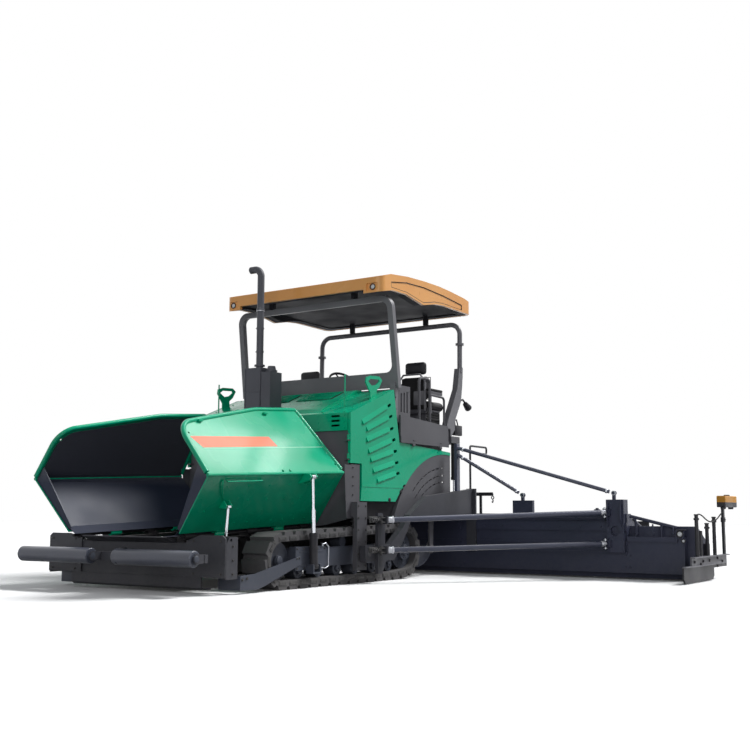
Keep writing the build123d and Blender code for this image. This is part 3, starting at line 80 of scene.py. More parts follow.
# Pads of a seat: name, low corner, high corner, the most that stuffing lifts them
PADS = (
    ("seat_cushion", (680, 1540, 2176), (1100, 1968, 2284), 10),
    ("seat_back", (686, 1506, 2306), (1094, 1600, 2624), 9),
    ("seat_head", (730, 1512, 2648), (1050, 1600, 2820), 8),
)
PAD_MESH, PAD_PRESSURE, PAD_FRAMES = 0.012, 4.0, 20

# Suns: name, the way the light goes, strength, width in degrees
SUNS = (
    ("key", (-0.45, -0.65, -0.9), 3.8, 18),
    ("front_fill", (-0.5, 0.85, -0.1), 0.9, 50),
    ("far_fill", (0.9, -0.3, -0.15), 0.4, 60),
)
# Softboxes that only show as bright patches on the wing's upper panel: name, place on it, size, power; how far off
SOFTBOXES = (
    ("front_softbox", (230, 420), (0.7, 1.5), 40),
    ("low_softbox", (1050, 130), (1.7, 0.4), 26),
)
SOFTBOX_REACH = 8

LEFT, REAR, UP = Vector((1, 0, 0)), Vector((0, 1, 0)), Vector((0, 0, 1))
SIDES = (("left", 1), ("right", -1))


def new_object(name, data):
    made = bpy.data.objects.new(name, data)
    bpy.context.scene.collection.objects.link(made)
    return made


def aim_camera():
    """A camera that looks along the picture's line of sight."""
    data = bpy.data.cameras.new("studio_camera")
    data.sensor_width = SENSOR
    data.sensor_fit = "HORIZONTAL"
    data.lens = FOCAL_PX * SENSOR / 750
    data.clip_end = 200
    camera = new_object("studio_camera", data)
    camera.matrix_world = (Matrix.Translation(EYE) @ Matrix.Rotation(HEADING, 4, "Z")
                           @ Matrix.Rotation(math.pi / 2 + PITCH, 4, "X") @ Matrix.Rotation(ROLL, 4, "Z"))
    bpy.context.scene.camera = camera


# Drawing places and shapes


def at(place):
    """A drawing place in the frame's metres."""
    return (Vector(place) - REAR * MID_LENGTH) / 1000


def fan(angle):
    """Direction across the wing's hinge line, from outwards to up."""
    return LEFT * math.cos(angle) + ACROSS * math.sin(angle)


KNEE = HINGE + fan(FLOOR_ANGLE) * FLOOR_WIDTH - AXIS * OVERHANG
INWARD = -AXIS.cross(LEFT * math.cos(SIDE_ANGLE) + UP * math.sin(SIDE_ANGLE)).normalized()
RISE = AXIS.cross(INWARD)


def on_side(along, up, proud):
    """Place on the wing's upper panel, proud of its outer face."""
    return KNEE + AXIS * along + RISE * up - INWARD * (SHEET + proud)


def on_floor(along, up, proud):
    """Place on the wing's lower panel, proud of its outer face."""
    return HINGE + AXIS * along + fan(FLOOR_ANGLE) * up - fan(FLOOR_ANGLE + math.pi / 2) * (SHEET + proud)


def round_places(x, centre, radius, count, start=0.0):
    """Places evenly round an axis that runs across the machine."""
    turns = [math.tau * i / count + start for i in range(count)]
    return [Vector((x, centre[0] + radius * math.cos(turn), centre[1] + radius * math.sin(turn))) for turn in turns]


def add_slab(shape, centre, size, edge=2.0, turn=Matrix()):
    """A block of a size round a centre, turned, with rounded edges."""
    stretch = Matrix.Diagonal((*(Vector(size) / 1000), 1))
    made = bmesh.ops.create_cube(shape, size=1, matrix=Matrix.Translation(at(centre)) @ turn @ stretch)
    edges = list({line for vert in made["verts"] for line in vert.link_edges})
    bmesh.ops.bevel(shape, geom=edges, offset=edge / 1000, affect="EDGES", segments=2, profile=0.5, material=-1)


def add_block(shape, low, high, edge=2.0):
    """A block between two corners."""
    add_slab(shape, (Vector(low) + Vector(high)) / 2, Vector(high) - Vector(low), edge)


def add_rod(shape, start, end, radius, tip=None, sides=20, edge=0.0):
    """A round bar or cone from one place to another; its rims take a chamfer."""
    a, b = at(start), at(end)
    turn = Matrix.Translation((a + b) / 2) @ (b - a).to_track_quat("Z", "Y").to_matrix().to_4x4()
    tip = radius if tip is None else tip
    made = bmesh.ops.create_cone(shape, cap_ends=True, segments=sides, radius1=radius / 1000,
                                 radius2=tip / 1000, depth=(b - a).length, matrix=turn)
    if edge:
        lines = {line for vert in made["verts"] for line in vert.link_edges}
        rims = [line for line in lines if any(len(face.verts) > 4 for face in line.link_faces)]
        bmesh.ops.bevel(shape, geom=rims, offset=edge / 1000, affect="EDGES", segments=2, profile=0.5, material=-1)


def add_ball(shape, centre, radius):
    bmesh.ops.create_uvsphere(shape, u_segments=16, v_segments=10, radius=radius / 1000,
                              matrix=Matrix.Translation(at(centre)))


def add_pipe(shape, places, radius, sides=12):
    """A bent pipe: straight lengths with a ball at each bend."""
    for start, end in zip(places, places[1:]):
        add_rod(shape, start, end, radius, sides=sides)
    for place in places[1:-1]:
        add_ball(shape, place, radius)


def add_bolt(shape, seat, axis, size=12.0):
    """A hexagon head on a washer, seated on a face."""
    seat, axis = Vector(seat), Vector(axis).normalized()
    add_rod(shape, seat - axis, seat + axis * size * 0.2, size, sides=16)
    add_rod(shape, seat, seat + axis * size * 0.8, size * 0.72, size * 0.66, 6)


def add_bolts(shape, first, last, count, axis, size=12.0):
    """A row of bolts between two seats."""
    for i in range(count):
        add_bolt(shape, Vector(first).lerp(Vector(last), i / max(count - 1, 1)), axis, size)


def add_ring(shape, centre, axis, inner, outer, height, sides=28):
    """A flat ring or collar round an axis."""
    axis = Vector(axis).normalized()
    turn = Matrix.Translation(at(centre)) @ axis.to_track_quat("Z", "Y").to_matrix().to_4x4()
    corner = [turn @ Vector((r / 1000, 0, z / 1000)) for r, z in
              ((inner, 0), (outer, 0), (outer, height), (inner, height))]
    verts = [shape.verts.new(place) for place in corner]
    edges = [shape.edges.new((verts[i], verts[(i + 1) % 4])) for i in range(4)]
    bmesh.ops.spin(shape, geom=verts + edges, cent=at(centre), axis=axis, angle=2 * math.pi, steps=sides,
                   use_merge=True)


def add_plate(shape, corners, thickness):
    """A flat plate on given corners, thickened by a vector."""
    face = shape.faces.new([shape.verts.new(at(place)) for place in corners])
    grown = bmesh.ops.extrude_face_region(shape, geom=[face])
    moved = [item for item in grown["geom"] if isinstance(item, bmesh.types.BMVert)]
    bmesh.ops.translate(shape, verts=moved, vec=Vector(thickness) / 1000)


def set_piece(name, shape, body, finish):
    """Turns a drawn shape into a piece that rides on a body."""
    bmesh.ops.recalc_face_normals(shape, faces=shape.faces)
    mesh = bpy.data.meshes.new(name)
    shape.to_mesh(mesh)
    shape.free()
    mesh.polygons.foreach_set("use_smooth", [True] * len(mesh.polygons))
    mesh.set_sharp_from_angle(angle=math.radians(35))
    mesh.materials.append(finish)
    piece = new_object(name, mesh)
    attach(piece, body)
    return piece


def single(name, draw, body, slot, finish):
    shape = bmesh.new()
    draw(shape)
    return set_piece(name, shape, body, finish)


def pair(name, draw, body, slot, finish):
    """Draws a piece on the machine's left and mirrors it to the right."""
    for side, sign in SIDES:
        shape = bmesh.new()
        draw(shape)
        bmesh.ops.scale(shape, vec=(sign, 1, 1), verts=shape.verts)
        set_piece(f"{name}_{side}", shape, body.format(side), finish)


# Finishes


def linear(hex_code):
    """A colour written as sRGB hex, turned to the linear numbers that a shader takes."""
    parts = [int(hex_code[i:i + 2], 16) / 255 for i in (1, 3, 5)]
    return [p / 12.92 if p <= 0.04045 else ((p + 0.055) / 1.055) ** 2.4 for p in parts] + [1.0]


def add_node(tree, kind, inputs=(), **settings):
    """Adds a shader node with its settings. An input is given a constant, a socket, or a node's first output."""
    node = tree.nodes.new("ShaderNode" + kind)
    for name, value in settings.items():
        setattr(node, name, value)
    for name, value in inputs.items() if isinstance(inputs, dict) else enumerate(inputs):
        value = value.outputs[0] if isinstance(value, bpy.types.Node) else value
        if isinstance(value, bpy.types.NodeSocket):
            tree.links.new(value, node.inputs[name])
        else:
            node.inputs[name].default_value = value
    return node


def new_material(name):
    """A material without nodes but its places: the material, its tree and the coordinates."""
    material = bpy.data.materials.new(name)
    material.use_nodes = True
    tree = material.node_tree
    tree.nodes.clear()
    return material, tree, add_node(tree, "TexCoord").outputs


def painted(name, clean, faded, rough, coat=0.0, level=0.3, dust=0.3, grain=(80.0, 0.0008), tint="#77726B"):
    """Paint, plastic or plate: colour clouded over some 0.8 m where the coats overlap, a film of dust in 40 mm
    patches on faces that look up and near the ground, a roughness that wanders over 0.4 m like hand-sprayed work,
    and a skin of fine relief. The sprayed skin is really 1 to 2 mm wide; 12 mm is as fine as shows."""
    material, tree, place = new_material(name)
    spot = place["Object"]
    clouds = add_node(tree, "TexNoise", {"Vector": spot, "Scale": 1.3, "Detail": 3.0})
    colour = add_node(tree, "Mix", {0: add_node(tree, "MapRange", [clouds, 0.35, 0.65]), 6: linear(clean),
                                    7: linear(faded)}, data_type="RGBA")
    facing = add_node(tree, "SeparateXYZ", [place["Normal"]]).outputs["Z"]
    height = add_node(tree, "SeparateXYZ", [spot]).outputs["Z"]
    film = add_node(tree, "Math", [add_node(tree, "MapRange", [facing, 0.5, 1.0]),
                                   add_node(tree, "MapRange", [height, 0.7, 0.0])], operation="MAXIMUM")
    patches = add_node(tree, "TexNoise", {"Vector": spot, "Scale": 26.0, "Detail": 6.0})
    patchy = add_node(tree, "Math", [film, add_node(tree, "MapRange", [patches, 0.2, 0.8])], operation="MULTIPLY")
    settled = add_node(tree, "Math", [patchy, dust], operation="MULTIPLY")
    dusty = add_node(tree, "Mix", {0: settled, 6: colour.outputs[2], 7: linear(tint)}, data_type="RGBA")
    gloss = add_node(tree, "TexNoise", {"Vector": spot, "Scale": 2.4})
    relief = add_node(tree, "TexNoise", {"Vector": spot, "Scale": grain[0]})
    skin = add_node(tree, "BsdfPrincipled", {
        "Base Color": dusty.outputs[2], "Roughness": add_node(tree, "MapRange", [gloss, 0.3, 0.7, *rough]),
        "Specular IOR Level": level, "Coat Weight": coat, "Coat Roughness": 0.1,
        "Normal": add_node(tree, "Bump", {"Height": relief, "Strength": 0.3, "Distance": grain[1]})})
    add_node(tree, "OutputMaterial", [skin])
    return material


def shader_of(material):
    """Tree, shader and object coordinates of a painted finish."""
    tree = material.node_tree
    kinds = {node.type: node for node in tree.nodes}
    return tree, kinds["BSDF_PRINCIPLED"], kinds["TEX_COORD"].outputs["Object"]


def banded(name, base, bands, edge=0.002, rough=(0.4, 0.55), level=0.3):
    """Paint that changes colour at heights of the object, as where a yellow cap meets a black case; on the wear
    plates the change is painted light.
    """
    material = painted(name, base, base, rough, level=level, dust=0.05)
    tree, skin, spot = shader_of(material)
    height = add_node(tree, "SeparateXYZ", [spot]).outputs["Z"]
    colour = skin.inputs["Base Color"].links[0].from_socket
    for start, end, other in bands:
        over = add_node(tree, "Math", [add_node(tree, "MapRange", [height, start, start + edge]),
                                       add_node(tree, "MapRange", [height, end, end - edge])], operation="MULTIPLY")
        colour = add_node(tree, "Mix", {0: over, 6: colour, 7: linear(other)}, data_type="RGBA").outputs[2]
    tree.links.new(colour, skin.inputs["Base Color"])
    return material


def bright_metal(name, low, high, rough, scale):
    """Bare metal: two close tones in turned or worn specks of some 10 to 15 mm, which the roughness follows."""
    material, tree, place = new_material(name)
    specks = add_node(tree, "TexNoise", {"Vector": place["Object"], "Scale": scale, "Detail": 4.0})
    colour = add_node(tree, "Mix", {0: specks, 6: linear(low), 7: linear(high)}, data_type="RGBA")
    skin = add_node(tree, "BsdfPrincipled", {"Metallic": 1.0, "Base Color": colour.outputs[2],
                                             "Roughness": add_node(tree, "MapRange", [specks, 0.3, 0.7, *rough])})
    add_node(tree, "OutputMaterial", [skin])
    return material


def tread_plate():
    """Five-bar floor plate, painted black; the bars, which boots polish, are drawn as relief only. The bars are 30 mm
    apart.
    """
    material = painted("tread_plate", "#303035", "#2A2A2F", (0.4, 0.55), dust=0.2)
    tree, skin, spot = shader_of(material)
    bars = add_node(tree, "TexChecker", {"Vector": spot, "Scale": 33.0}).outputs["Fac"]
    bump = add_node(tree, "Bump", {"Height": bars, "Strength": 0.6, "Distance": 0.002})
    tree.links.new(bump.outputs["Normal"], skin.inputs["Normal"])
    return material


# Paint by the record's slot or by its own name: the material, clean and faded colour, range of roughness, coat,
# level of reflection, dust, and the grain's scale and depth where it isn't a sprayed skin
PAINTS = {
    # Sprayed enamel: an even skin. The green is glossy, so that lamps show on it; the rest are satin and quiet.
    "green_paint": ("sprayed_green_enamel", "#00AA80", "#00A176", (0.2, 0.32), 0.2, 0.1, 0.02),
    "grey_paint": ("sprayed_grey_enamel", "#56565B", "#4E4E53", (0.4, 0.55), 0.0, 0.25, 0.15),
    "screed_paint": ("sprayed_navy_enamel", "#373A4D", "#2F3345", (0.35, 0.5), 0.0, 0.25, 0.1),
    "black_paint": ("sprayed_black_enamel", "#333338", "#2B2B30", (0.4, 0.55), 0.0, 0.2, 0.15),
    "chassis_paint": ("chassis_black", "#1E1E22", "#18181B", (0.5, 0.7), 0.0, 0.15, 0.2),
    "case_paint": ("blue_grey_enamel", "#444955", "#3C404B", (0.35, 0.5), 0.0, 0.3, 0.1),
    "hoop_paint": ("hoop_enamel", "#747479", "#6C6C71", (0.35, 0.5), 0.0, 0.3, 0.05),
    "beam_paint": ("beam_enamel", "#3F4047", "#36373D", (0.4, 0.55), 0.0, 0.25, 0.15),
    "brace_paint": ("brace_enamel", "#4C5064", "#43475A", (0.25, 0.35), 0.1, 0.4, 0.05),
    # Heat-proof paint: dull and a little chalky, since it has no clear coat
    "stack_paint": ("heat_proof_paint", "#565860", "#4C4D54", (0.4, 0.55), 0.0, 0.3, 0.1),
    # Gelcoat of a moulded roof: smooth and glossy, with soft highlights along its folds
    "roof_paint": ("orange_gelcoat", "#EDAB62", "#E7A259", (0.25, 0.35), 0.2, 0.25, 0.05),
    # Rolled steel rubbed by tyres: a dark blue sheen
    "worn_steel": ("blued_worn_steel", "#4C505E", "#444855", (0.25, 0.4), 0.0, 0.5, 0.1),
    # Moulded rubber: matt, grey with dust on the shoes and black on hoses and seals
    "track_rubber": ("track_rubber", "#4E4E50", "#58575A", (0.65, 0.85), 0.0, 0.2, 0.3, (50.0, 0.003)),
    "rubber": ("black_rubber", "#141416", "#1B1B1D", (0.6, 0.8), 0.0, 0.2, 0.1),
    # Moulded plastic lining: flat and even, and clean, since it hangs
    "roof_lining": ("moulded_roof_lining", "#26262A", "#2B2B30", (0.6, 0.8), 0.0, 0.15, 0.0),
    # Vinyl with a pressed grain of 4 mm: soft, broken highlights
    "seat_cover": ("grained_seat_vinyl", "#1E1E22", "#25252A", (0.5, 0.65), 0.0, 0.25, 0.1, (260.0, 0.0006)),
    # Sand-cast iron: rough and dull. Oiled steel links: darker, with a wet gloss
    "cast_engine": ("cast_iron", "#343436", "#3D3D40", (0.6, 0.8), 0.0, 0.2, 0.3, (120.0, 0.002)),
    "link_steel": ("oiled_chain_steel", "#2D2D2F", "#3A3A3C", (0.4, 0.6), 0.0, 0.4, 0.3),
    # Coloured film: flat colour under a thin gloss
    "stripe": ("orange_stripe", "#F26B3E", "#EE6338", (0.3, 0.4), 0.1, 0.1, 0.0),
    "line": ("pale_line", "#9FDCC0", "#93D5B8", (0.3, 0.4), 0.1, 0.1, 0.0),
    # Lamp glass over a reflector: pale, a painted reflection of the reflector behind the glass, with a sharp
    # highlight
    "lens": ("lamp_lens", "#D9DCDF", "#C9CDD2", (0.1, 0.2), 0.5, 0.5, 0.0),
}


def make_finishes():
    """Every finish of the machine, by the record's slot or by its own name."""
    found = {key: painted(*row) for key, row in PAINTS.items()}
    found.update({
        # Wear plate: blue-black and smooth where the mix slides; paler above 1.12 m as painted light on the upper
        # panel, which lies in shade, and darker below as painted shade against the key light
        "liner_steel": banded("dark_wear_plate", "#20273A", [(1.12, 9.0, "#50525C")], 0.14, (0.4, 0.52), 0.2),
        # Chromed rods mirror the room in a fine turned finish; zinc plate is paler and blurs it
        "rod_chrome": bright_metal("hard_chrome", "#C9CCD2", "#DADCE2", (0.1, 0.2), 60.0),
        "zinc": bright_metal("zinc_plate", "#8E9096", "#A9ABB1", (0.3, 0.45), 90.0),
        # Enamelled end plate: black, a worn grey skid bar low down, a yellow cap on top
        "cap": banded("end_plate_paint", "#26262B", [(0.185, 0.305, "#66666C"), (0.948, 1.2, "#C4892F")]),
        "tread": tread_plate(),
    })
    return found


NODE_FINISH = {
    "chassis": "chassis_paint", "conveyor": "chassis_paint", "track_frame_left": "case_paint",
    "track_frame_right": "case_paint", "end_plate_left": "cap", "end_plate_right": "cap", "walkway": "tread",
    "front_hoop": "hoop_paint", "rear_hoop": "hoop_paint", "exhaust": "stack_paint", "air_intake": "stack_paint",
    "front_beam": "beam_paint", "push_yoke": "beam_paint", "screed_stays": "brace_paint", "tow_arms": "beam_paint",
}


def dress_nodes(found):
    """Each CAD node takes the finish of its slot, or its own."""
    for name, node in NODES.items():
        for slot in node.material_slots:
            key = NODE_FINISH.get(name, slot.material.name.split(".")[0] if slot.material else "")
            slot.material = found.get(key, found["grey_paint"])


# Studio


def seen_rays(tree):
    """1 for rays that see the backdrop itself, 0 for those that only gather its light."""
    path = add_node(tree, "LightPath").outputs
    seen = path["Is Camera Ray"]
    for kind in ("Is Transmission Ray", "Is Glossy Ray"):
        seen = add_node(tree, "Math", [seen, path[kind]], operation="MAXIMUM").outputs[0]
    return seen


def hang_lamp(name, kind, energy, aim):
    """A lamp that shines along a direction: its object and its data."""
    lamp = bpy.data.lights.new(name, kind)
    lamp.energy = energy
    holder = new_object(name, lamp)
    holder.rotation_euler = Vector(aim).to_track_quat("-Z", "Y").to_euler()
    return holder, lamp


def light_studio():
    """A soft key from above and behind, two fills, softboxes, and an even, slightly cool sky."""
    world = bpy.data.worlds.new("studio_sky")
    bpy.context.scene.world = world
    world.use_nodes = True
    tree = world.node_tree
    tree.nodes.clear()
    sky = add_node(tree, "Background", [(0.93, 0.96, 1.0, 1.0), 0.3])
    white = add_node(tree, "Background", [(1.0, 1.0, 1.0, 1.0), 1.0])
    add_node(tree, "OutputWorld", [add_node(tree, "MixShader", [seen_rays(tree), sky, white])])
    for name, aim, strength, size in SUNS:
        holder, lamp = hang_lamp(name, "SUN", strength, aim)
        lamp.angle = math.radians(size)
    for name, place, size, power in SOFTBOXES:
        spot = at(on_side(*place, 0))
        out = (EYE - spot).normalized()
        glance = -INWARD * 2 * out.dot(-INWARD) - out
        holder, lamp = hang_lamp(name, "AREA", power, -glance)
        lamp.shape = "RECTANGLE"
        lamp.size, lamp.size_y = size
        holder.location = spot + glance * SOFTBOX_REACH
        holder.visible_diffuse = False


def lay_floor():
    """A pale floor that is white to the camera, throws back less light than it shows, and keeps the shadow."""
    mesh = bpy.data.meshes.new("studio_floor")
    shape = bmesh.new()
    bmesh.ops.create_grid(shape, x_segments=1, y_segments=1, size=60)
    shape.to_mesh(mesh)
    shape.free()
    floor = new_object("studio_floor", mesh)
    material, tree, place = new_material("pale_studio_paper")
    seen = seen_rays(tree)
    clouds = add_node(tree, "TexNoise", {"Vector": place["Object"], "Scale": 0.6})
    paper = add_node(tree, "Mix", {0: clouds, 6: linear("#F2F2F3"), 7: linear("#F4F4F4")}, data_type="RGBA")
    colour = add_node(tree, "Mix", {0: seen, 6: linear("#6A6A6C"), 7: paper.outputs[2]}, data_type="RGBA")
    skin = add_node(tree, "BsdfPrincipled", {
        "Base Color": colour.outputs[2], "Roughness": 0.9, "Specular IOR Level": 0.1,
        "Emission Color": (1.0, 1.0, 1.0, 1.0),
        "Emission Strength": add_node(tree, "Math", [seen, 0.02], operation="MULTIPLY")})
    add_node(tree, "OutputMaterial", [skin])
    mesh.materials.append(material)


# Cable to the joint sensor


def lay_sensor_cable(finish):
    """The black cable that hangs from the post on the end plate to the sensor's mast."""
    for side, sign in SIDES:
        curve = bpy.data.curves.new(f"sensor_cable_{side}", "CURVE")
        curve.dimensions = "3D"
        curve.bevel_depth = CABLE_RADIUS
        curve.bevel_resolution = 3
        curve.use_fill_caps = True
        spline = curve.splines.new("NURBS")
        spline.points.add(len(CABLE_ROUTE) - 1)
        for point, (x, y, z) in zip(spline.points, CABLE_ROUTE):
            point.co = (*at((sign * x, y, z)), 1)
        spline.order_u = 3
        spline.use_endpoint_u = True
        curve.materials.append(finish)
        cable = new_object(f"sensor_cable_{side}", curve)
        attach(cable, "screed")


# Fittings of the tractor


def belt_places(depth):
    """Middle of every shoe at a depth over the wheels: y, z and heading, walked in small steps round the loop."""
    outline, leave = [], []
    for (y, z, r), (y2, z2, r2) in zip(WHEELS, WHEELS[1:] + WHEELS[:1]):
        leave.append(math.atan2(z2 - z, y2 - y) + math.acos((r - r2) / math.hypot(y2 - y, z2 - z)))
    for i, (y, z, r) in enumerate(WHEELS):
        turn = (leave[i - 1] - leave[i]) % (2 * math.pi)
        for step in range(41):
            angle = leave[i - 1] - turn * step / 40
            outline.append(Vector((y + (r + depth) * math.cos(angle), z + (r + depth) * math.sin(angle))))
    outline.append(outline[0])
    pitch = sum((b - a).length for a, b in zip(outline, outline[1:])) / SHOES
    places = []
    passed = 0.0
    for a, b in zip(outline, outline[1:]):
        step = (b - a).length
        while len(places) < SHOES and len(places) * pitch < passed + step:
            spot = a.lerp(b, (len(places) * pitch - passed) / step)
            places.append((spot.x, spot.y, math.atan2(b.y - a.y, b.x - a.x)))
        passed += step
    return places


def draw_chain(shape):
    """Link plates with their pins on the outer face of the loop."""
    for y, z, heading in belt_places(CHAIN_DEPTH):
        add_slab(shape, (TRACK_OUT + 1, y, z), (9, 132, 44), 3, Matrix.Rotation(heading, 4, "X"))
        for shift in (-42, 42):
            spot = Vector((TRACK_OUT + 5, y + shift * math.cos(heading), z + shift * math.sin(heading)))
            add_rod(shape, spot - LEFT * 3, spot + LEFT * 2, 14, sides=14, edge=1)


def draw_hubs(shape):
    """Hub caps on the rollers, the idler and the sprocket."""
    for y, z in ROLLERS:
        add_rod(shape, (1184, y, z), (1212, y, z), 40, 34, edge=3)
        add_bolt(shape, (1212, y, z), LEFT, 14)
    add_rod(shape, (1214, *IDLER), (1232, *IDLER), 52, 46, edge=4)
    add_rod(shape, (1244, *SPROCKET), (1262, *SPROCKET), 70, 60, 28, edge=5)
    for seat, opening in zip(round_places(1245, SPROCKET, 95, 10), round_places(1186, SPROCKET, 165, 10)):
        add_bolt(shape, seat, LEFT, 13)
        add_rod(shape, opening, opening + LEFT * 3, 26)


def draw_case_bolts(shape):
    """Bolts of the tensioner's side cover, of the tow guide, of the wall's edge and of the front beam."""
    for z in (212, 418):
        add_bolts(shape, (1283, -1535, z), (1283, -1045, z), 5, LEFT, 11)
    add_bolts(shape, (1303, -2440, 140), (1303, -2370, 150), 2, LEFT, 16)
    add_bolts(shape, (1303, -1560, 316), (1303, -1520, 322), 2, LEFT, 12)
    for y in (-475, -325):
        add_bolts(shape, (1345, y, 200), (1345, y, 880), 6, LEFT, 13)
    add_bolts(shape, (1263, -470, 800), (1263, -470, 1320), 6, LEFT, 10)
    add_bolts(shape, (1280, -2560, 200), (1280, -2560, 470), 3, LEFT, 14)
    for z in (520, 200):
        add_bolts(shape, (860, -2672, z), (1220, -2672, z), 2, -REAR, 14)


def draw_case_ribs(shape):
    """Raised frame and step bars on the tensioner's cover."""
    for z in (240, 380):
        add_block(shape, (1281, -1500, z), (1288, -1090, z + 10), 2)
    for y in (-1330, -1270, -1210):
        add_plate(shape, [(1282, y, 262), (1282, y + 22, 262), (1282, y + 62, 368), (1282, y + 40, 368)], (7, 0, 0))


def draw_grease_pipe(shape):
    """Grease pipe beside the tensioner."""
    add_pipe(shape, [(1292, -1096, 455), (1296, -1040, 472), (1296, -983, 429), (1296, -988, 222),
                     (1296, -1040, 200), (1294, -1184, 214)], 7)
    add_block(shape, (1283, -1110, 438), (1300, -1080, 470), 3)
    add_block(shape, (1283, -1196, 202), (1300, -1170, 228), 3)


def draw_hoses(shape):
    """Hydraulic pipes clipped to the wall's side and down to the tow guide."""
    add_pipe(shape, [(1268, -480, 801), (1290, -498, 730), (1290, -506, 643), (1292, -440, 560),
                     (1300, -355, 527)], 9)
    add_pipe(shape, [(1268, -455, 801), (1284, -470, 720), (1284, -476, 640), (1288, -420, 590),
                     (1300, -345, 560)], 7)
    for z in (640, 700):
        add_block(shape, (1262, -520, z), (1298, -455, z + 16), 3)


def draw_tow_fittings(shape):
    """Lock plates, pins and turnbuckle eyes between the braces and the tow guide."""
    for z in (720, 375):
        for low in (z - 30, z + 18):
            add_block(shape, (1490, -300, low), (1550, -212, low + 12), 3)
        add_rod(shape, (1520, -262, z - 52), (1520, -262, z + 52), 13, edge=3)
        add_ring(shape, (1520, -262, z + 34), UP, 14, 24, 8)
        add_rod(shape, (1520, -262, z), (1520, -430, z + 14), 12)
        for y in (-300, -345, -390):
            add_rod(shape, (1520, y, z + 4), (1520, y - 18, z + 6), 21, sides=6, edge=2)
        add_ring(shape, (1520, -452, z + 4), LEFT, 12, 28, 16)
        add_block(shape, (1482, -470, z - 30), (1496, -300, z + 40), 4)


def draw_latches(shape):
    """Two slam latches on the door."""
    for y, z in ((560, 1060), (300, 960)):
        add_rod(shape, (1268, y, z), (1279, y, z), 26, 23, 24, edge=3)
        add_block(shape, (1277, y - 8, z - 18), (1284, y + 8, z + 18), 3)


def draw_hood_screws(shape):
    """Fixing screws along the hood's front edge and beside its raised middle."""
    for x in (800, 1180):
        add_bolts(shape, (x, -531, 1780), (x, -531, 1930), 3, -REAR, 9)
    slope = Vector((0, -0.356, 0.934))
    for x in (1150, 830):
        add_bolts(shape, (x, -480, 1979), (x, 350, 2295), 6, slope, 9)


def on_hood(x, y, proud):
    """Place over the raised hood's sloping face."""
    return (x, y, HOOD_FOOT[1] + (y - HOOD_FOOT[0]) * HOOD_RISE + proud)


def draw_hood_grille(shape):
    """Pressed air slots on the raised hood: slats over a black sheet, which is painted shade in place of the dark
    opening.
    """
    for x in (-330, 330):
        for i in range(13):
            add_slab(shape, on_hood(x, 10 + i * 21, 7), (520, 6, 14), 1.5, HOOD_SLOPE)


def draw_grille_shade_sheet(shape):
    # A black sheet under the slats on the solid hood: painted shade that stands for the dark inside the air slots
    for x in (-330, 330):
        add_slab(shape, on_hood(x, 136, 1), (560, 300, 4), 1, HOOD_SLOPE)


def draw_bands(shape):
    """Band clamps on the stack and ribs of the muffler's cover."""
    for z, r in ((2640, 63), (3120, 46), (2820, 46)):
        add_ring(shape, (*STACK, z), UP, r - 2, r + 4, 20)
        screw = Vector((STACK[0] - r - 12, STACK[1], z + 10))
        add_rod(shape, screw - REAR * 14, screw + REAR * 14, 5)
    for x in (-452, -212):
        add_block(shape, (x, -406, 2060), (x + 10, -399, 2596), 2)
    add_block(shape, (-446, -406, 2300), (-208, -399, 2308), 2)
    add_ring(shape, (-117, -285, 2560), UP, 60, 74, 14)


def draw_exhaust_joint(shape):
    """Bright sleeve where the stack's tip is slipped over the pipe."""
    add_ring(shape, (*STACK, 3352), UP, 40, 51, 34)


def draw_roof_lamps(shape):
    """Frames of the work lamps in the front fascia."""
    add_block(shape, (1052, 134, 3538), (1208, 154, 3620), 6)
    add_ring(shape, (1130, 130, 3579), -REAR, 32, 40, 10)


def draw_roof_lenses(shape):
    add_rod(shape, (1130, 140, 3579), (1130, 125, 3579), 34, 24, 28, edge=5)


def draw_roof_bead(shape):
    """Rubber bead round the sunk panel in the roof's side."""
    panel = [(362, 3600), (362, 3669), (731, 3727), (1153, 3742), (1674, 3721), (2187, 3679), (2187, 3606),
             (1673, 3612), (1445, 3594), (1152, 3534), (1009, 3556), (730, 3600)]
    add_pipe(shape, [(1250, y, z) for y, z in panel + panel[:1]], 7, 8)


def draw_platform_brackets(shape):
    """Brackets on the platform's lip, the guard rail's feet, and screws of the side plates."""
    for y in (870, 1552):
        add_block(shape, (1262, y - 30, 1640), (1279, y + 30, 1668), 3)
        add_bolts(shape, (1278, y - 18, 1710), (1278, y + 18, 1710), 2, LEFT, 9)
    for y in (1130, 1400, 1780):
        add_ring(shape, (1195, y, 1931), UP, 17, 34, 10)
    for z in (1985, 2330):
        add_bolts(shape, (1200, 640, z), (1200, 870, z), 2, LEFT, 8)
    add_bolts(shape, (1228, 508, 1790), (1228, 508, 2380), 5, LEFT, 11)


def draw_rear_boxes(shape):
    """Control box and hoses on the platform's rear corner, and the lamp's stalk on the rear hoop."""
    add_block(shape, (1150, 2070, 1857), (1205, 2272, 1997), 10)
    add_block(shape, (1203, 2100, 1880), (1209, 2248, 1974), 3)
    add_pipe(shape, [(1180, 2110, 1995), (1180, 2095, 2060), (1180, 2150, 2075), (1180, 2190, 1995)], 9)
    add_pipe(shape, [(1180, 2230, 2340), (1180, 2330, 2370), (1180, 2440, 2310)], 13)
    add_rod(shape, (1180, 2400, 2320), (1180, 2500, 2262), 34, 52, 24, edge=5)
    add_pipe(shape, [(1187, 2262, 2600), (1187, 2292, 2660), (1187, 2296, 2800), (1187, 2262, 2850)], 16)
    add_bolt(shape, (1221, 2250, 3135), LEFT, 10)


def draw_rear_lens(shape):
    add_rod(shape, (1180, 2498, 2263), (1180, 2508, 2257), 46, 40, 24, edge=3)


def draw_seat_shell(shape):
    """Grey panel of the back and its tube frame."""
    add_block(shape, (907, 1458, 2225), (1101, 1478, 2420), 12)
    tube = [(690, 1452, 2150), (690, 1446, 2560), (760, 1444, 2640), (1020, 1444, 2640), (1090, 1446, 2560),
            (1090, 1452, 2150)]
    add_pipe(shape, tube, 12)


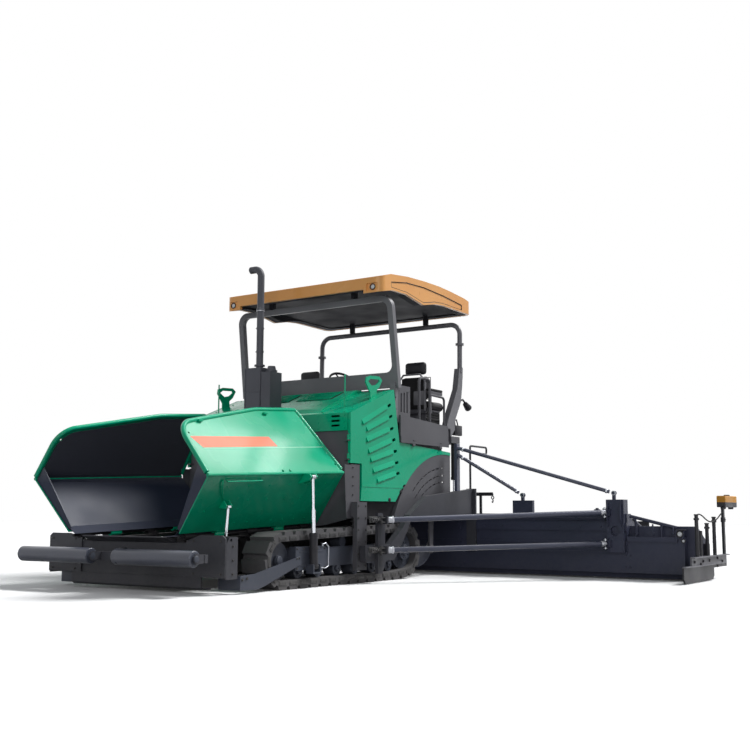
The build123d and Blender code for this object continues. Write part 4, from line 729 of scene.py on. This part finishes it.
def draw_seat_base(shape):
    """Black back shell, bellows of the suspension and arm pads."""
    add_block(shape, (715, 1462, 2170), (1065, 1500, 2600), 16)
    for i in range(5):
        add_block(shape, (700 + 6 * (i % 2), 1520 + 6 * (i % 2), 1950 + i * 38),
                  (1080 - 6 * (i % 2), 1870 - 6 * (i % 2), 1984 + i * 38), 8)
    for x in (640, 1140):
        add_block(shape, (x - 34, 1440, 2412), (x + 34, 1790, 2446), 14)


def draw_console(shape):
    """A screen, switches, levers and a steering wheel on the console."""
    add_slab(shape, (-150, 975, 2492), (230, 30, 170), 10, Matrix.Rotation(math.radians(62), 4, "X"))
    for i in range(10):
        x = 60 + (i % 5) * 45
        y = 960 + (i // 5) * 60
        add_rod(shape, (x, y, 2462 - (y - 920) * 0.45), (x, y, 2482 - (y - 920) * 0.45), 12, 10, 12, edge=2)
    for x in (60, 150):
        add_rod(shape, (x, 1020, 2440), (x, 1050, 2560), 7)
        add_ball(shape, (x, 1052, 2568), 19)
    add_rod(shape, (-20, 1020, 2420), (-20, 1110, 2560), 20, 16)
    hub = Vector((-20, 1112, 2563))
    axis = Vector((0, 0.54, 0.84))
    add_ring(shape, hub, axis, 168, 192, 22, 40)
    add_rod(shape, hub - axis * 6, hub + axis * 24, 42, 34, 24, edge=4)
    for i in range(3):
        turn = math.tau * i / 3 + 0.5
        spoke = LEFT * math.cos(turn) + axis.cross(LEFT) * math.sin(turn)
        add_rod(shape, hub + axis * 8, hub + axis * 10 + spoke * 176, 12, 9, 10)
    add_block(shape, (-260, 700, 2440), (260, 760, 2470), 8)


def draw_beam_pin(shape):
    """Yoke pin's cap, and the rubber flap's clamp bar with its bolts."""
    add_rod(shape, (0, -2800, 425), (0, -2800, 440), 44, 38, 24, edge=3)
    add_block(shape, (-560, -2662, 512), (560, -2642, 524), 3)
    add_bolts(shape, (-520, -2652, 524), (520, -2652, 524), 9, UP, 9)


def draw_fork_pins(shape):
    """Round pin ends of the push rollers in their forks."""
    for x in (1259, 156):
        add_rod(shape, (x, *PUSH_AXIS), (x + 8, *PUSH_AXIS), 34, 30, 24, edge=3)
        for seat in round_places(x + 4, PUSH_AXIS, 22, 4, 0.4):
            add_bolt(shape, seat, LEFT, 6)


def draw_roller_ends(shape):
    """Seal ring and end screws of a push roller."""
    for x, way in ((1238, 1), (178, -1)):
        add_ring(shape, (x - way, *PUSH_AXIS), LEFT * way, 42, 58, 4)
        for seat in round_places(x - way, PUSH_AXIS, 68, 6):
            add_rod(shape, seat, seat + LEFT * 4 * way, 5, sides=8)


# Fittings of the hopper


def draw_stripe(shape):
    add_plate(shape, [on_side(60, 480, 0.2), on_side(157, 337, 0.2), on_side(1352, 368, 0.2),
                      on_side(1301, 501, 0.2)], -INWARD * 0.8)


def draw_line(shape):
    add_plate(shape, [on_side(150, 329, 0.2), on_side(168, 321, 0.2), on_side(2200, 366, 0.2),
                      on_side(2206, 374, 0.2)], -INWARD * 0.8)


def draw_wing_fittings(shape):
    """Guide bars, nuts of the liner's bolts, two buttons and two stops on the wing's outer face."""
    add_pipe(shape, [on_floor(170, 726, 0), on_floor(172, 724, 26), on_floor(700, 726, 26), on_floor(700, 726, 0)], 7)
    add_pipe(shape, [on_floor(120, 726, 4), on_floor(118, 690, 22), on_floor(210, 560, 22), on_floor(300, 470, 8)], 9)
    face = -fan(FLOOR_ANGLE + math.pi / 2)
    for up, first, last, count in ((150, 500, 1900, 8), (330, 120, 620, 3), (450, 700, 1900, 5), (640, 250, 1900, 6)):
        add_bolts(shape, on_floor(first, up, 0), on_floor(last, up, 0), count, face, 11)
    for along in (1180, 1300):
        add_rod(shape, on_side(along, 30, 0), on_side(along, 30, 12), 16, 12, 14, edge=2)
    for along in (330, 1480):
        add_slab(shape, on_side(along, 640 + along * 0.13, 14), (30, 60, 26), 5, Matrix.Rotation(TILT, 4, "X"))


def draw_liner_strips(shape):
    """Bent wear strip along the knee, and the strip that covers the hinge."""
    inner = fan(FLOOR_ANGLE + math.pi / 2)
    add_plate(shape, [on_floor(-100, FLOOR_WIDTH - 60, -23), on_floor(2100, FLOOR_WIDTH - 60, -23),
                      on_floor(2100, FLOOR_WIDTH, -15), on_floor(-100, FLOOR_WIDTH, -15)], inner * 3)
    add_plate(shape, [on_side(30, 0, -15), on_side(2230, 0, -15), on_side(2230, 60, -23), on_side(30, 60, -23)],
              INWARD * 3)
    add_plate(shape, [on_floor(-30, -12, -50), on_floor(2226, -12, -50), on_floor(2216, 110, -23),
                      on_floor(-46, 110, -23)], inner * 4)


def draw_liner_bolts(shape):
    """Flush plough bolts of the wear plates, in rows along the hinge, the knee and the rim."""
    inner = fan(FLOOR_ANGLE + math.pi / 2)
    rows = ((on_floor, inner, 120, 60, 2060, 9), (on_floor, inner, 700, 20, 2020, 9),
            (on_side, INWARD, 70, 150, 2120, 9), (on_side, INWARD, 520, 300, 2060, 8))
    for panel, way, up, first, last, count in rows:
        for i in range(count):
            seat = panel(first + (last - first) * i / (count - 1), up, -22)
            add_rod(shape, seat - way, seat + way * 1.6, 13, 11, 14)


# Fittings of the cylinders


def cylinder(y, foot, eye):
    """Foot of a hopper cylinder, and the direction to its eye."""
    base = HINGE + AXIS * ((y - HINGE.y) / AXIS.y)
    low = base + LEFT * foot[0] + ACROSS * foot[1]
    high = base + LEFT * eye[0] + ACROSS * eye[1]
    return low, (high - low).normalized()


def draw_gland(shape, foot, run, length, radius):
    """End cap, clamp ring and the two oil ports of a barrel."""
    add_ring(shape, foot + run * (length - 34), run, radius - 1, radius + 4, 30)
    add_ring(shape, foot + run * (length - 2), run, radius * 0.66, radius - 2, 8)
    for share in (0.25, 0.82):
        seat = foot + run * length * share
        add_rod(shape, seat + REAR * (radius - 2), seat + REAR * (radius + 14), 11, 10, 12, edge=2)
        add_rod(shape, seat + REAR * (radius + 12), seat + REAR * (radius + 24), 9, 9, 6)


def draw_rear_barrel(shape):
    draw_gland(shape, *cylinder(-1320, (570, -397), (570, 568)), 360, 44)


def draw_front_barrel(shape):
    draw_gland(shape, *cylinder(-2420, (255, -320), (329, 287)), 310, 30)


def draw_lift_barrel(shape):
    draw_gland(shape, Vector((1222, 2000, 1780)), -UP, 530, 42)


# Fittings of the screed


def brace_line(rear, front):
    """Both ends of a brace, and its direction."""
    start, end = Vector((1512, -185, front)), Vector((3350, 2060, rear))
    return start, end, (end - start).normalized()


def draw_brace_ends(shape):
    """Bright clamp sleeves, forks and pins at both ends of the braces, and the tie rods' lock nuts."""
    for rear, front in BRACES:
        start, end, run = brace_line(rear, front)
        add_rod(shape, start + run * 22, start + run * 92, 37, edge=4)
        add_rod(shape, start + run * 92, start + run * 112, 42, sides=6, edge=3)
        add_rod(shape, end - run * 96, end - run * 30, 37, edge=4)
        add_rod(shape, (3328, 2034, rear - 66), (3328, 2034, rear + 66), 12, edge=3)
        add_ring(shape, (3328, 2034, rear + 44), UP, 12, 26, 9)
        add_ring(shape, (3328, 2034, rear - 56), UP, 12, 26, 9)
    for x, z, top in TIE_EYES:
        high, low = Vector((1405, 1780, top)), Vector((x, 2180, z))
        run = (low - high).normalized()
        add_rod(shape, low - run * 108, low - run * 84, 30, sides=6, edge=3)
        add_rod(shape, high + run * 60, high + run * 84, 30, sides=6, edge=3)
        add_ring(shape, (x, 2152, z), REAR, 20, 28, 8)
        add_ring(shape, (x, 2200, z), REAR, 20, 28, 8)


def draw_screed_bolts(shape):
    """Bolt rows along the screed's front ribs and on the flanges between its lengths."""
    add_bolts(shape, (1600, 2124, 640), (3240, 2124, 640), 7, -REAR, 13)
    for z in (323, 443):
        add_bolts(shape, (1640, 2132, z), (3480, 2132, z), 9, -REAR, 8)
    for x in (1290, 3540, 3600):
        add_bolts(shape, (x, 2149, 150), (x, 2149, 290), 2, -REAR, 14)
    add_bolts(shape, (3560, 2124, 610), (3560, 2124, 670), 2, -REAR, 12)
    for x in (3345, 3530):
        add_bolts(shape, (x, 2090, 350), (x, 2090, 920), 5, -REAR, 12)
    for x in (3700, 3900, 4150):
        add_rod(shape, (x, 2128, 540), (x, 2128, 700 - (x - 3700) * 0.12), 10, edge=2)
        add_ring(shape, (x, 2128, 560), UP, 10, 20, 14)


def draw_screed_lines(shape):
    """Pipes and seams along the screed's face."""
    add_pipe(shape, [(1480, 2140, 742), (3300, 2140, 742)], 11)
    add_pipe(shape, [(1480, 2140, 770), (1900, 2140, 770), (1930, 2140, 724), (3300, 2140, 724)], 7)
    for x in (1700, 2300, 2900):
        add_block(shape, (x, 2128, 716), (x + 26, 2151, 784), 4)
    add_block(shape, (3130, 2172, 800), (3202, 2228, 856), 8)
    add_rod(shape, (3166, 2200, 856), (3166, 2200, 872), 22, 18, edge=3)


def draw_screed_covers(shape):
    """Bolted covers with grab handles on the screed's sloping top, over the heating and the vibrators."""
    across, normal = SCREED_SLOPE @ REAR, SCREED_SLOPE @ UP
    for x in (330, 900, 1700, 2350, 3020):
        middle = Vector((x, SCREED_FRONT + 365, MAIN_TOP - 130)) + normal * 5
        add_slab(shape, middle, (500, 300, 10), 4, SCREED_SLOPE)
        for side in (-1, 1):
            add_bolts(shape, middle + LEFT * 225 * side - across * 125 + normal * 5,
                      middle + LEFT * 225 * side + across * 125 + normal * 5, 3, normal, 9)
        add_pipe(shape, [middle + LEFT * aside + normal * height
                         for aside, height in ((-70, 4), (-70, 40), (70, 40), (70, 4))], 7)
    for x in (1255, 3575):
        add_slab(shape, Vector((x, SCREED_FRONT + 365, MAIN_TOP - 130)) + normal * 12, (14, 380, 26), 3,
                 SCREED_SLOPE)


def draw_screed_lamp(shape):
    """Round work lamp at the outer end, in its guard."""
    add_ring(shape, (4233, 2124, 559), -REAR, 34, 44, 22)
    add_ring(shape, (4273, 2128, 478), -REAR, 18, 26, 16)
    add_block(shape, (4180, 2110, 604), (4290, 2200, 612), 3)


def draw_screed_lens(shape):
    add_rod(shape, (4233, 2130, 559), (4233, 2100, 559), 38, 26, 28, edge=6)
    add_rod(shape, (4273, 2140, 478), (4273, 2112, 478), 21, 15, 20, edge=4)


def draw_posts(shape):
    """Bolts of the end plate's arm, threads, knobs and handles of its posts, and the mast's clamp."""
    for y, z in ((2838, 263), (2838, 168), (3056, 220), (2140, 211), (2240, 244), (2500, 244), (1900, 244)):
        add_bolt(shape, (PLATE_FACE, y, z), LEFT, 20)
    for y, top in ((2000, 788), (2415, 683), (2720, 758)):
        for i in range(14):
            add_ring(shape, (POST_X, y, 320 + i * 16), UP, 21, 24, 5, 18)
        add_rod(shape, (POST_X, y, top - 4), (POST_X, y, top + 10), 30, 26, 20, edge=3)
        add_rod(shape, (POST_X, y - 46, top - 46), (POST_X, y + 46, top - 46), 8)
        add_ball(shape, (POST_X, y + 48, top - 46), 13)
    add_block(shape, (4458, 3066, 700), (4496, 3160, 760), 5)
    add_bolts(shape, (4496, 3090, 730), (4496, 3136, 730), 2, LEFT, 10)
    add_rod(shape, (4475, 3330, 1030), (4475, 3330, 1046), 40, 34, 24, edge=4)
    for y in (3150, 3500):
        add_rod(shape, (4475, y, 886), (4475, y, 862), 36, 30, 24, edge=4)


def draw_hook(shape):
    """Hook and shackle on the hoist beam."""
    add_ring(shape, (1385, 2805, 1020), REAR, 14, 24, 12)
    add_rod(shape, (1385, 2810, 1045), (1385, 2810, 1078), 12)
    add_pipe(shape, [(1385, 2810, 1000), (1385, 2826, 975), (1385, 2810, 952), (1385, 2790, 962)], 8)


def draw_bearing(shape):
    """Bearing cap and bolts on the auger's hanger."""
    add_rod(shape, (1289, *AUGER_AXIS), (1304, *AUGER_AXIS), 50, 42, 28, edge=4)
    for seat in round_places(1290, AUGER_AXIS, 52, 4, math.tau / 8):
        add_bolt(shape, seat, LEFT, 9)
    add_bolts(shape, (1290, 1240, 690), (1290, 1300, 690), 2, LEFT, 12)


# Seats


def stuffed(name, low, high, swell, finish):
    """A seat's pad: a rounded block, blown up as cloth by no more than a given swell."""
    shape = bmesh.new()
    add_block(shape, low, high, 38)
    bmesh.ops.subdivide_edges(shape, edges=shape.edges, cuts=3, use_grid_fill=True)
    pad = set_piece(name, shape, "tractor", finish)
    remesh = pad.modifiers.new("remesh", "REMESH")
    remesh.mode = "VOXEL"
    remesh.voxel_size = PAD_MESH
    settle(pad)
    rest = [vertex.co.copy() for vertex in pad.data.vertices]
    cloth = pad.modifiers.new("cloth", "CLOTH")
    cloth.settings.use_pressure = True
    cloth.settings.uniform_pressure_force = PAD_PRESSURE
    cloth.settings.effector_weights.gravity = 0.0
    for step in range(1, PAD_FRAMES + 1):
        bpy.context.scene.frame_set(step)
    settle(pad)
    for vertex, start in zip(pad.data.vertices, rest):
        shift = vertex.co - start
        if shift.length > swell / 1000:
            vertex.co = start + shift.normalized() * (swell / 1000)
    bpy.context.scene.frame_set(1)
    return pad


def settle(piece):
    """Applies a piece's modifiers to its mesh."""
    graph = bpy.context.evaluated_depsgraph_get()
    mesh = bpy.data.meshes.new_from_object(piece.evaluated_get(graph))
    piece.modifiers.clear()
    piece.data = mesh
    mesh.polygons.foreach_set("use_smooth", [True] * len(mesh.polygons))


def draw_seat_seams(shape):
    """Welts round the cushions and across the back."""
    for loop in ([(688, 1548, 2225), (1092, 1548, 2225), (1092, 1962, 2225), (688, 1962, 2225)],
                 [(692, 1606, 2318), (1088, 1606, 2318), (1088, 1606, 2612), (692, 1606, 2612)]):
        add_pipe(shape, loop + loop[:1], 5, 8)


def fit_seats(finishes):
    """Both seats: simulated on the left, mirrored to the right."""
    made = []
    for name, low, high, swell in PADS:
        pad = stuffed(f"{name}_left", low, high, swell, finishes["seat_cover"])
        twin = pad.copy()
        twin.name = f"{name}_right"
        twin.data = pad.data.copy()
        twin.data.transform(Matrix.Scale(-1, 4, LEFT))
        twin.data.flip_normals()
        bpy.context.scene.collection.objects.link(twin)
        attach(twin, "tractor")
        made += [pad, twin]
    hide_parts("seat_pads")


PIECES = [
    # how it is placed, name, how it is drawn, body, slot, and the finish where it isn't the slot's own
    (pair, "track_chain", draw_chain, "tractor", "worn_steel", "link_steel"),
    (pair, "wheel_hubs", draw_hubs, "tractor", "black_paint", "case_paint"),
    (pair, "case_bolts", draw_case_bolts, "tractor", "black_paint", "link_steel"),
    (pair, "case_ribs", draw_case_ribs, "tractor", "grey_paint", "case_paint"),
    (pair, "grease_pipe", draw_grease_pipe, "tractor", "rod_chrome", "zinc"),
    (pair, "wall_pipes", draw_hoses, "tractor", "black_paint", "rubber"),
    (pair, "tow_fittings", draw_tow_fittings, "screed", "worn_steel", "link_steel"),
    (pair, "door_latches", draw_latches, "door_{}", "black_paint"),
    (pair, "hood_screws", draw_hood_screws, "tractor", "green_paint"),
    (single, "hood_grille", draw_hood_grille, "tractor", "green_paint"),
    # the grille's black sheet is painted shade for the dark inside its slots
    (single, "grille_shade_sheet", draw_grille_shade_sheet, "tractor", "black_paint", "rubber"),
    (single, "exhaust_bands", draw_bands, "tractor", "black_paint", "stack_paint"),
    (single, "exhaust_joint", draw_exhaust_joint, "tractor", "rod_chrome", "zinc"),
    (pair, "roof_lamps", draw_roof_lamps, "tractor", "black_paint"),
    (pair, "roof_lenses", draw_roof_lenses, "tractor", "rod_chrome", "lens"),
    (pair, "roof_bead", draw_roof_bead, "tractor", "black_paint", "rubber"),
    (pair, "platform_brackets", draw_platform_brackets, "tractor", "grey_paint"),
    (pair, "rear_boxes", draw_rear_boxes, "tractor", "black_paint"),
    (pair, "rear_lens", draw_rear_lens, "tractor", "rod_chrome", "lens"),
    (pair, "seat_shells", draw_seat_shell, "tractor", "grey_paint", "hoop_paint"),
    (pair, "seat_bases", draw_seat_base, "tractor", "black_paint", "rubber"),
    (pair, "seat_welts", draw_seat_seams, "tractor", "seat_cover", "rubber"),
    (single, "console_controls", draw_console, "tractor", "black_paint"),
    (single, "beam_fittings", draw_beam_pin, "tractor", "black_paint"),
    (pair, "fork_pins", draw_fork_pins, "push_yoke", "black_paint", "case_paint"),
    (pair, "roller_ends", draw_roller_ends, "push_roller_{}", "worn_steel", "case_paint"),
    (pair, "wing_stripe", draw_stripe, "wing_{}", "green_paint", "stripe"),
    (pair, "wing_line", draw_line, "wing_{}", "green_paint", "line"),
    (pair, "wing_fittings", draw_wing_fittings, "wing_{}", "green_paint"),
    (pair, "liner_strips", draw_liner_strips, "wing_{}", "liner_steel"),
    (pair, "liner_bolts", draw_liner_bolts, "wing_{}", "liner_steel"),
    (pair, "rear_barrel_gland", draw_rear_barrel, "hopper_barrel_{}", "black_paint"),
    (pair, "front_barrel_gland", draw_front_barrel, "strut_barrel_{}", "black_paint"),
    (pair, "lift_barrel_gland", draw_lift_barrel, "lift_barrel_{}", "black_paint"),
    (pair, "brace_fittings", draw_brace_ends, "screed", "worn_steel", "zinc"),
    (pair, "screed_bolts", draw_screed_bolts, "screed", "screed_paint"),
    (pair, "screed_pipes", draw_screed_lines, "screed", "screed_paint"),
    (pair, "screed_covers", draw_screed_covers, "screed", "screed_paint"),
    (pair, "screed_lamp", draw_screed_lamp, "screed", "black_paint"),
    (pair, "screed_lens", draw_screed_lens, "screed", "rod_chrome", "lens"),
    (pair, "end_plate_fittings", draw_posts, "screed", "black_paint"),
    (pair, "walkway_fittings", draw_hook, "screed", "black_paint"),
    (pair, "auger_bearing", draw_bearing, "tractor", "grey_paint"),
]

aim_camera()
finishes = make_finishes()
lay_sensor_cable(finishes["rubber"])
light_studio()
lay_floor()
dress_nodes(finishes)
for make, name, draw, body, slot, *own in PIECES:
    make(name, draw, body, slot, finishes[own[0] if own else slot])
fit_seats(finishes)

bpy.context.scene.view_settings.view_transform = "Standard"
